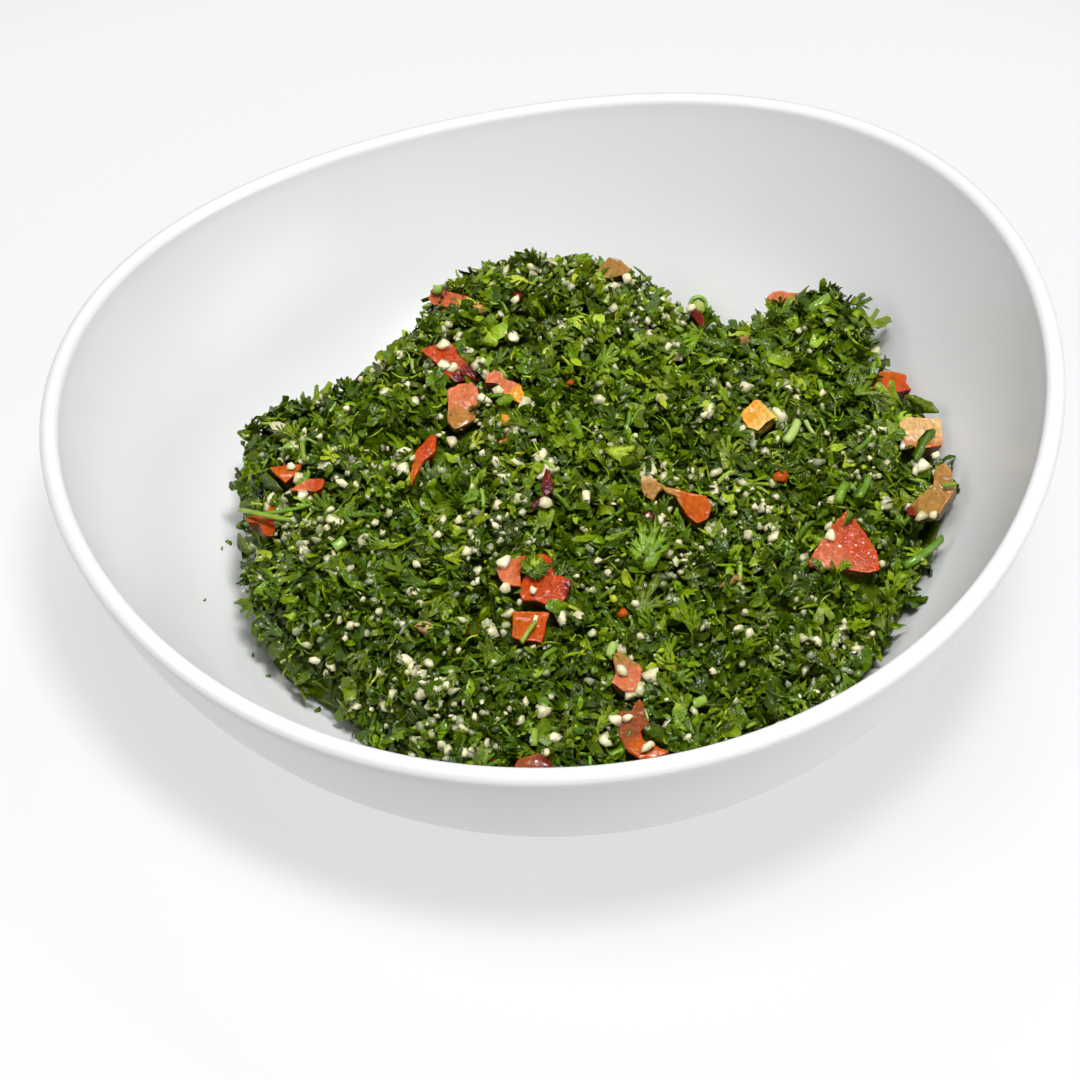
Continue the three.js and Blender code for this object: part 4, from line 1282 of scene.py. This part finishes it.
def laid(name, rows, surface, lift, material, make):
    """Pieces that lie where they show on a surface, raised towards the view. What "make" gives of
    the rest of a row is a shape, its direction, that across it, its size and its shade."""
    parts = []
    for spot, row in zip(seen_spots(rows, surface), rows):
        shape, along, across, size, shade = make(*row[2:])
        parts.append((shape, basis(spot - VIEW_IN * lift, along, across, size), shade))
    return merged(name, parts, material)


def laid_lengths(name, rows, lift, material, make):
    """Pieces that run from one spot to another, bridging what lies deeper between."""
    starts = seen_spots(rows, salad_surface)
    ends = seen_spots([row[2:] for row in rows], salad_surface)
    parts = []
    for start, end, row in zip(starts, ends, rows):
        deeper = (end - start).dot(VIEW_IN)
        sunk = abs(deeper) - STEEPEST * math.hypot(row[2] - row[0], row[3] - row[1])
        if sunk > 0 and deeper > 0:
            end = end - VIEW_IN * sunk
        elif sunk > 0:
            start = start - VIEW_IN * sunk
        middle = (start + end) / 2 - VIEW_IN * lift
        shape, size = make((end - start).length, row[4])
        parts.append((shape, basis(middle, end - start, VIEW_UP, size), row[5]))
    return merged(name, parts, material)


def laid_kernel(length, turn):
    along = seen_way(turn + hand.uniform(-15, 15))
    size = (length, length * hand.uniform(0.85, 1.05), length * 0.9)
    return kernel("kernel", hand, 18), along, seen_way(turn + 90), size, hand.uniform(0.6, 1.1)


def laid_leaflet(turn, length, lobes, shade):
    shape = leaf("leaflet", hand, lobes, 0.19 * lobes, 0.95, lobes > 4)
    return shape, seen_way(turn), seen_way(turn + 90), (length,) * 3, shade


def laid_crumb(size):
    shape = nugget("crumb", hand, 1, 0.8, (1.2, 0.9, 0.4))
    return shape, seen_way(hand.uniform(0, 180)), VIEW_UP, (size,) * 3, hand.uniform(0.3, 0.8)


def laid_stem(length, thickness):
    return tube("stem", hand, 8), (length, thickness / STEM_THICKNESS, thickness / STEM_THICKNESS)


def laid_cut(length, width):
    return curl_of_leaf("cut", hand, width, 0.8, 7), (length,) * 3


def onion():
    at, end_at = (spot - VIEW_IN * 1.5 for spot in seen_spots(LAID_ONION, salad_surface))
    upright = basis(at, VIEW_RIGHT, Vector((0, 0.6, 1)), (LAID_ONION[0][2],) * 3)
    lying = basis(end_at, VIEW_RIGHT, VIEW_UP, (LAID_ONION[1][2],) * 3)
    inner = upright @ Matrix.Diagonal((1.5, 1.5, 0.5, 1))
    return merged("spring_onion", [
        (onion_ring("outer_ring"), upright, 0.75),
        (nugget("inner", hand, 2, 0.3, (1, 1, 1)), inner, 1.1),
        (nugget("cut_end", hand, 2, 0.3, (1.1, 0.9, 0.8)), lying, 0.7),
    ], STEM)


def tomato_bits():
    x, y = (np.array([row[k] for row in TOMATO_BITS], float) for k in (0, 1))
    parts = []
    for px, py, pz, (_, _, length, width, colour) in zip(x, y, salad_surface(x, y), TOMATO_BITS):
        along = seen_way(hand.uniform(-60, 60))
        spot = Vector((px, py, pz)) - VIEW_IN
        matrix = basis(spot, along, VIEW_UP, (length, width * 1.2, 3.0))
        parts.append((kernel("bit", hand, 18), matrix, (*colour, 1)))
    piece = merged("tomato_bits", parts, TOMATO, "flesh")
    set_attribute(piece.data, "pulp", [0.4] * len(piece.data.vertices))
    return piece


# ---- tomato
def tomato_block(name, facet, material):
    """The piece's top face, with cut sides that draw in below it and stay off the bowl."""
    low = [facet.middle + (corner - facet.middle) * DICE_TAPER - facet.normal * DICE_THICKNESS
           for corner in facet.corners]
    points = [place(x, y, max(z, heap_bed(x, y) + TOMATO_GAP)) for x, y, z in [*facet.corners, *low]]
    n = len(low)
    faces = [tuple(range(n)), tuple(reversed(range(n, 2 * n)))]
    faces += [(k, k + n, (k + 1) % n + n, (k + 1) % n) for k in range(n)]
    block = mesh_object(name, points, faces, material)
    outward(block.data)
    remesh = block.modifiers.new("even", "REMESH")
    remesh.mode = "VOXEL"
    remesh.voxel_size = VOXEL * MM
    relax = block.modifiers.new("rounded", "SMOOTH")
    relax.factor = 0.5
    relax.iterations = 4
    keep_evaluated(block)
    return block


def tomato_piece(index, dice):
    """A cut piece of tomato where its node is: uneven, wet, and painted in two colours, with painted shade
    on its cut sides.
    """
    facet = FACETS[index - 1]
    material = TOMATO_PULP if dice.pulp > WETTER_PULP else TOMATO
    piece = tomato_block(f"tomato_{index:02d}", facet, material)
    shift = Vector((index * 3.1, 0, 0))
    vertices = piece.data.vertices
    normals = [vertex.normal.copy() for vertex in vertices]
    plan = np.array([vertex.co / MM for vertex in vertices]) - (*FOOT_AT, 0)
    edges = -outline_distance(plan[:, 0], plan[:, 1], facet.corners)
    colours, pulps = [], []
    for vertex, normal, edge in zip(vertices, normals, edges):
        spot = vertex.co / MM
        off = spot - Vector((*FOOT_AT, 0)) - facet.middle
        across = Vector((off.dot(VIEW_RIGHT), off.dot(VIEW_UP) + dice.rise * UPRIGHT_SEEN))
        share = (across.dot(Vector(dice.toward)) - dice.start) / 1.6 + 0.5
        share = clamped(share + noise.noise(spot * 0.6 + shift) * 0.7)
        streak = noise.noise(Vector((spot.x * 2.2, spot.y * 0.5, spot.z * 0.5)) + shift)
        tone = 1 + 0.30 * streak + 0.25 * noise.noise(spot * 1.3 + shift)
        # Painted shade: the cut sides, facing away from the top, are painted darker, down to 0.45 of their
        # colour, and darker still near the top's outline, where the top itself is painted lighter.
        side = clamped((facet.normal.dot(normal) + 0.2) / 0.9)
        tone *= 1 + clamped(1 - edge / 0.7) * (0.25 if side > 0.6 else -0.25)
        mixed = [a + (b - a) * share for a, b in zip(dice.first, dice.second)]
        colours.append([min(1, c * tone * (0.45 + 0.55 * side)) for c in mixed] + [1])
        pulps.append(0.12 + dice.pulp * clamped(0.7 + noise.noise(spot * 0.35 + shift)))
        warp = noise.noise(spot * 0.25 + shift) * 0.5 + noise.noise(spot * 0.9 + shift) * 0.08
        vertex.co += normal * warp * MM
    set_attribute(piece.data, "flesh", colours)
    set_attribute(piece.data, "pulp", pulps)
    piece.data.shade_smooth()
    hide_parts(f"tomato_dice_{index:02d}")
    return piece


# ---- stage, light and camera
# The floor's glow, near the bowl and far from it, and how far from it those are.
FLOOR_GLOW = (0.60, 0.06)
FLOOR_GLOW_REACH = (0.24, 0.50)
LIGHTS_AIM = Vector((0, 0, 0.03))
SKY_STRENGTH = 0.115


def make_stage():
    """A pale floor that glows softly round the bowl, so that the bowl's shadow stays light."""
    material, tree, shader = new_material("pale_floor", {
        "Base Color": (0.25, 0.25, 0.25, 1), "Roughness": 0.9, "Specular IOR Level": 0.0,
        "Emission Color": (1, 1, 1, 1),
    })
    away = tree.vector("LENGTH", object_coordinates(tree), output="Value")
    tree.feed(shader.inputs["Emission Strength"], tree.out("ShaderNodeMapRange", {
        "Value": away, "From Min": FLOOR_GLOW_REACH[0], "From Max": FLOOR_GLOW_REACH[1],
        "To Min": FLOOR_GLOW[0], "To Max": FLOOR_GLOW[1],
    }, interpolation_type="SMOOTHSTEP"))
    floor = mesh_object("floor", [(-2, -2, 0), (2, -2, 0), (2, 2, 0), (-2, 2, 0)],
                        [(0, 1, 2, 3)], material, smooth=False)
    world = bpy.data.worlds.new("studio")
    bpy.context.scene.world = world
    world.use_nodes = True
    sky = world.node_tree.nodes["Background"]
    sky.inputs["Color"].default_value = (1.0, 1.0, 1.0, 1)
    sky.inputs["Strength"].default_value = SKY_STRENGTH


def area_light(name, spot, size, power):
    light = bpy.data.lights.new(name, "AREA")
    light.shape = "RECTANGLE"
    light.size, light.size_y = size
    light.energy = power
    lamp = add_object(name, light)
    lamp.location = spot
    lamp.rotation_euler = (LIGHTS_AIM - Vector(spot)).to_track_quat("-Z", "Y").to_euler()


def make_camera():
    camera = bpy.data.cameras.new("camera")
    camera.sensor_width = SENSOR
    camera.lens = FOCAL_PIXELS / FRAME_PIXELS * SENSOR
    camera.shift_x = (FRAME_PIXELS / 2 - TARGET_PIXEL[0]) / FRAME_PIXELS
    camera.shift_y = (TARGET_PIXEL[1] - FRAME_PIXELS / 2) / FRAME_PIXELS
    camera.clip_start = 0.01
    eye = add_object("camera", camera)
    eye.location = place(*CAMERA_TARGET) - VIEW_IN * CAMERA_DISTANCE * MM
    eye.rotation_euler = (math.pi / 2 - CAMERA_ELEVATION, 0, 0)
    bpy.context.scene.camera = eye


make_camera()
make_stage()
area_light("key", (0.12, -0.38, 1.08), (0.20, 0.20), 9.8)
area_light("overhead", (-0.05, -0.22, 1.3), (0.6, 0.4), 7.0)
area_light("right", (0.95, -0.34, 0.36), (0.9, 0.5), 3.9)
area_light("left", (-0.9, -0.25, 0.65), (0.8, 0.6), 2.6)
area_light("back", (0.1, 0.80, 0.95), (0.25, 0.18), 2.0)
bpy.context.scene.view_settings.view_transform = "Standard"

# ---- the model
bowl = make_bowl()
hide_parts("bowl")

core = make_core()
cover = make_cover()
wall = inner_wall_surface()
salad = [core] + strew(cover, wall)
for helper in (cover, wall):
    bpy.data.objects.remove(helper)
salad += [
    laid("laid_bulgur", LAID_KERNELS, salad_surface, 1.3, GRAIN, laid_kernel),
    laid_lengths("laid_stems", LAID_STEMS, 2.2, STEM, laid_stem),
    laid_lengths("laid_cuts", LAID_CUTS, 2.0, LEAF, laid_cut),
    laid("laid_leaflets", LAID_LEAFLETS, salad_surface, 2.0, LEAF, laid_leaflet),
    laid("bowl_crumbs", BOWL_CRUMBS, bowl_floor, 0.5, LEAF, laid_crumb),
    onion(),
]
bits = tomato_bits()
for piece in [*salad, bits]:
    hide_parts("tabbouleh")

tomatoes = [tomato_piece(i, dice) for i, dice in enumerate(DICE, start=1)]

for piece in [bowl, *salad, bits, *tomatoes]:
    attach(piece, "root")
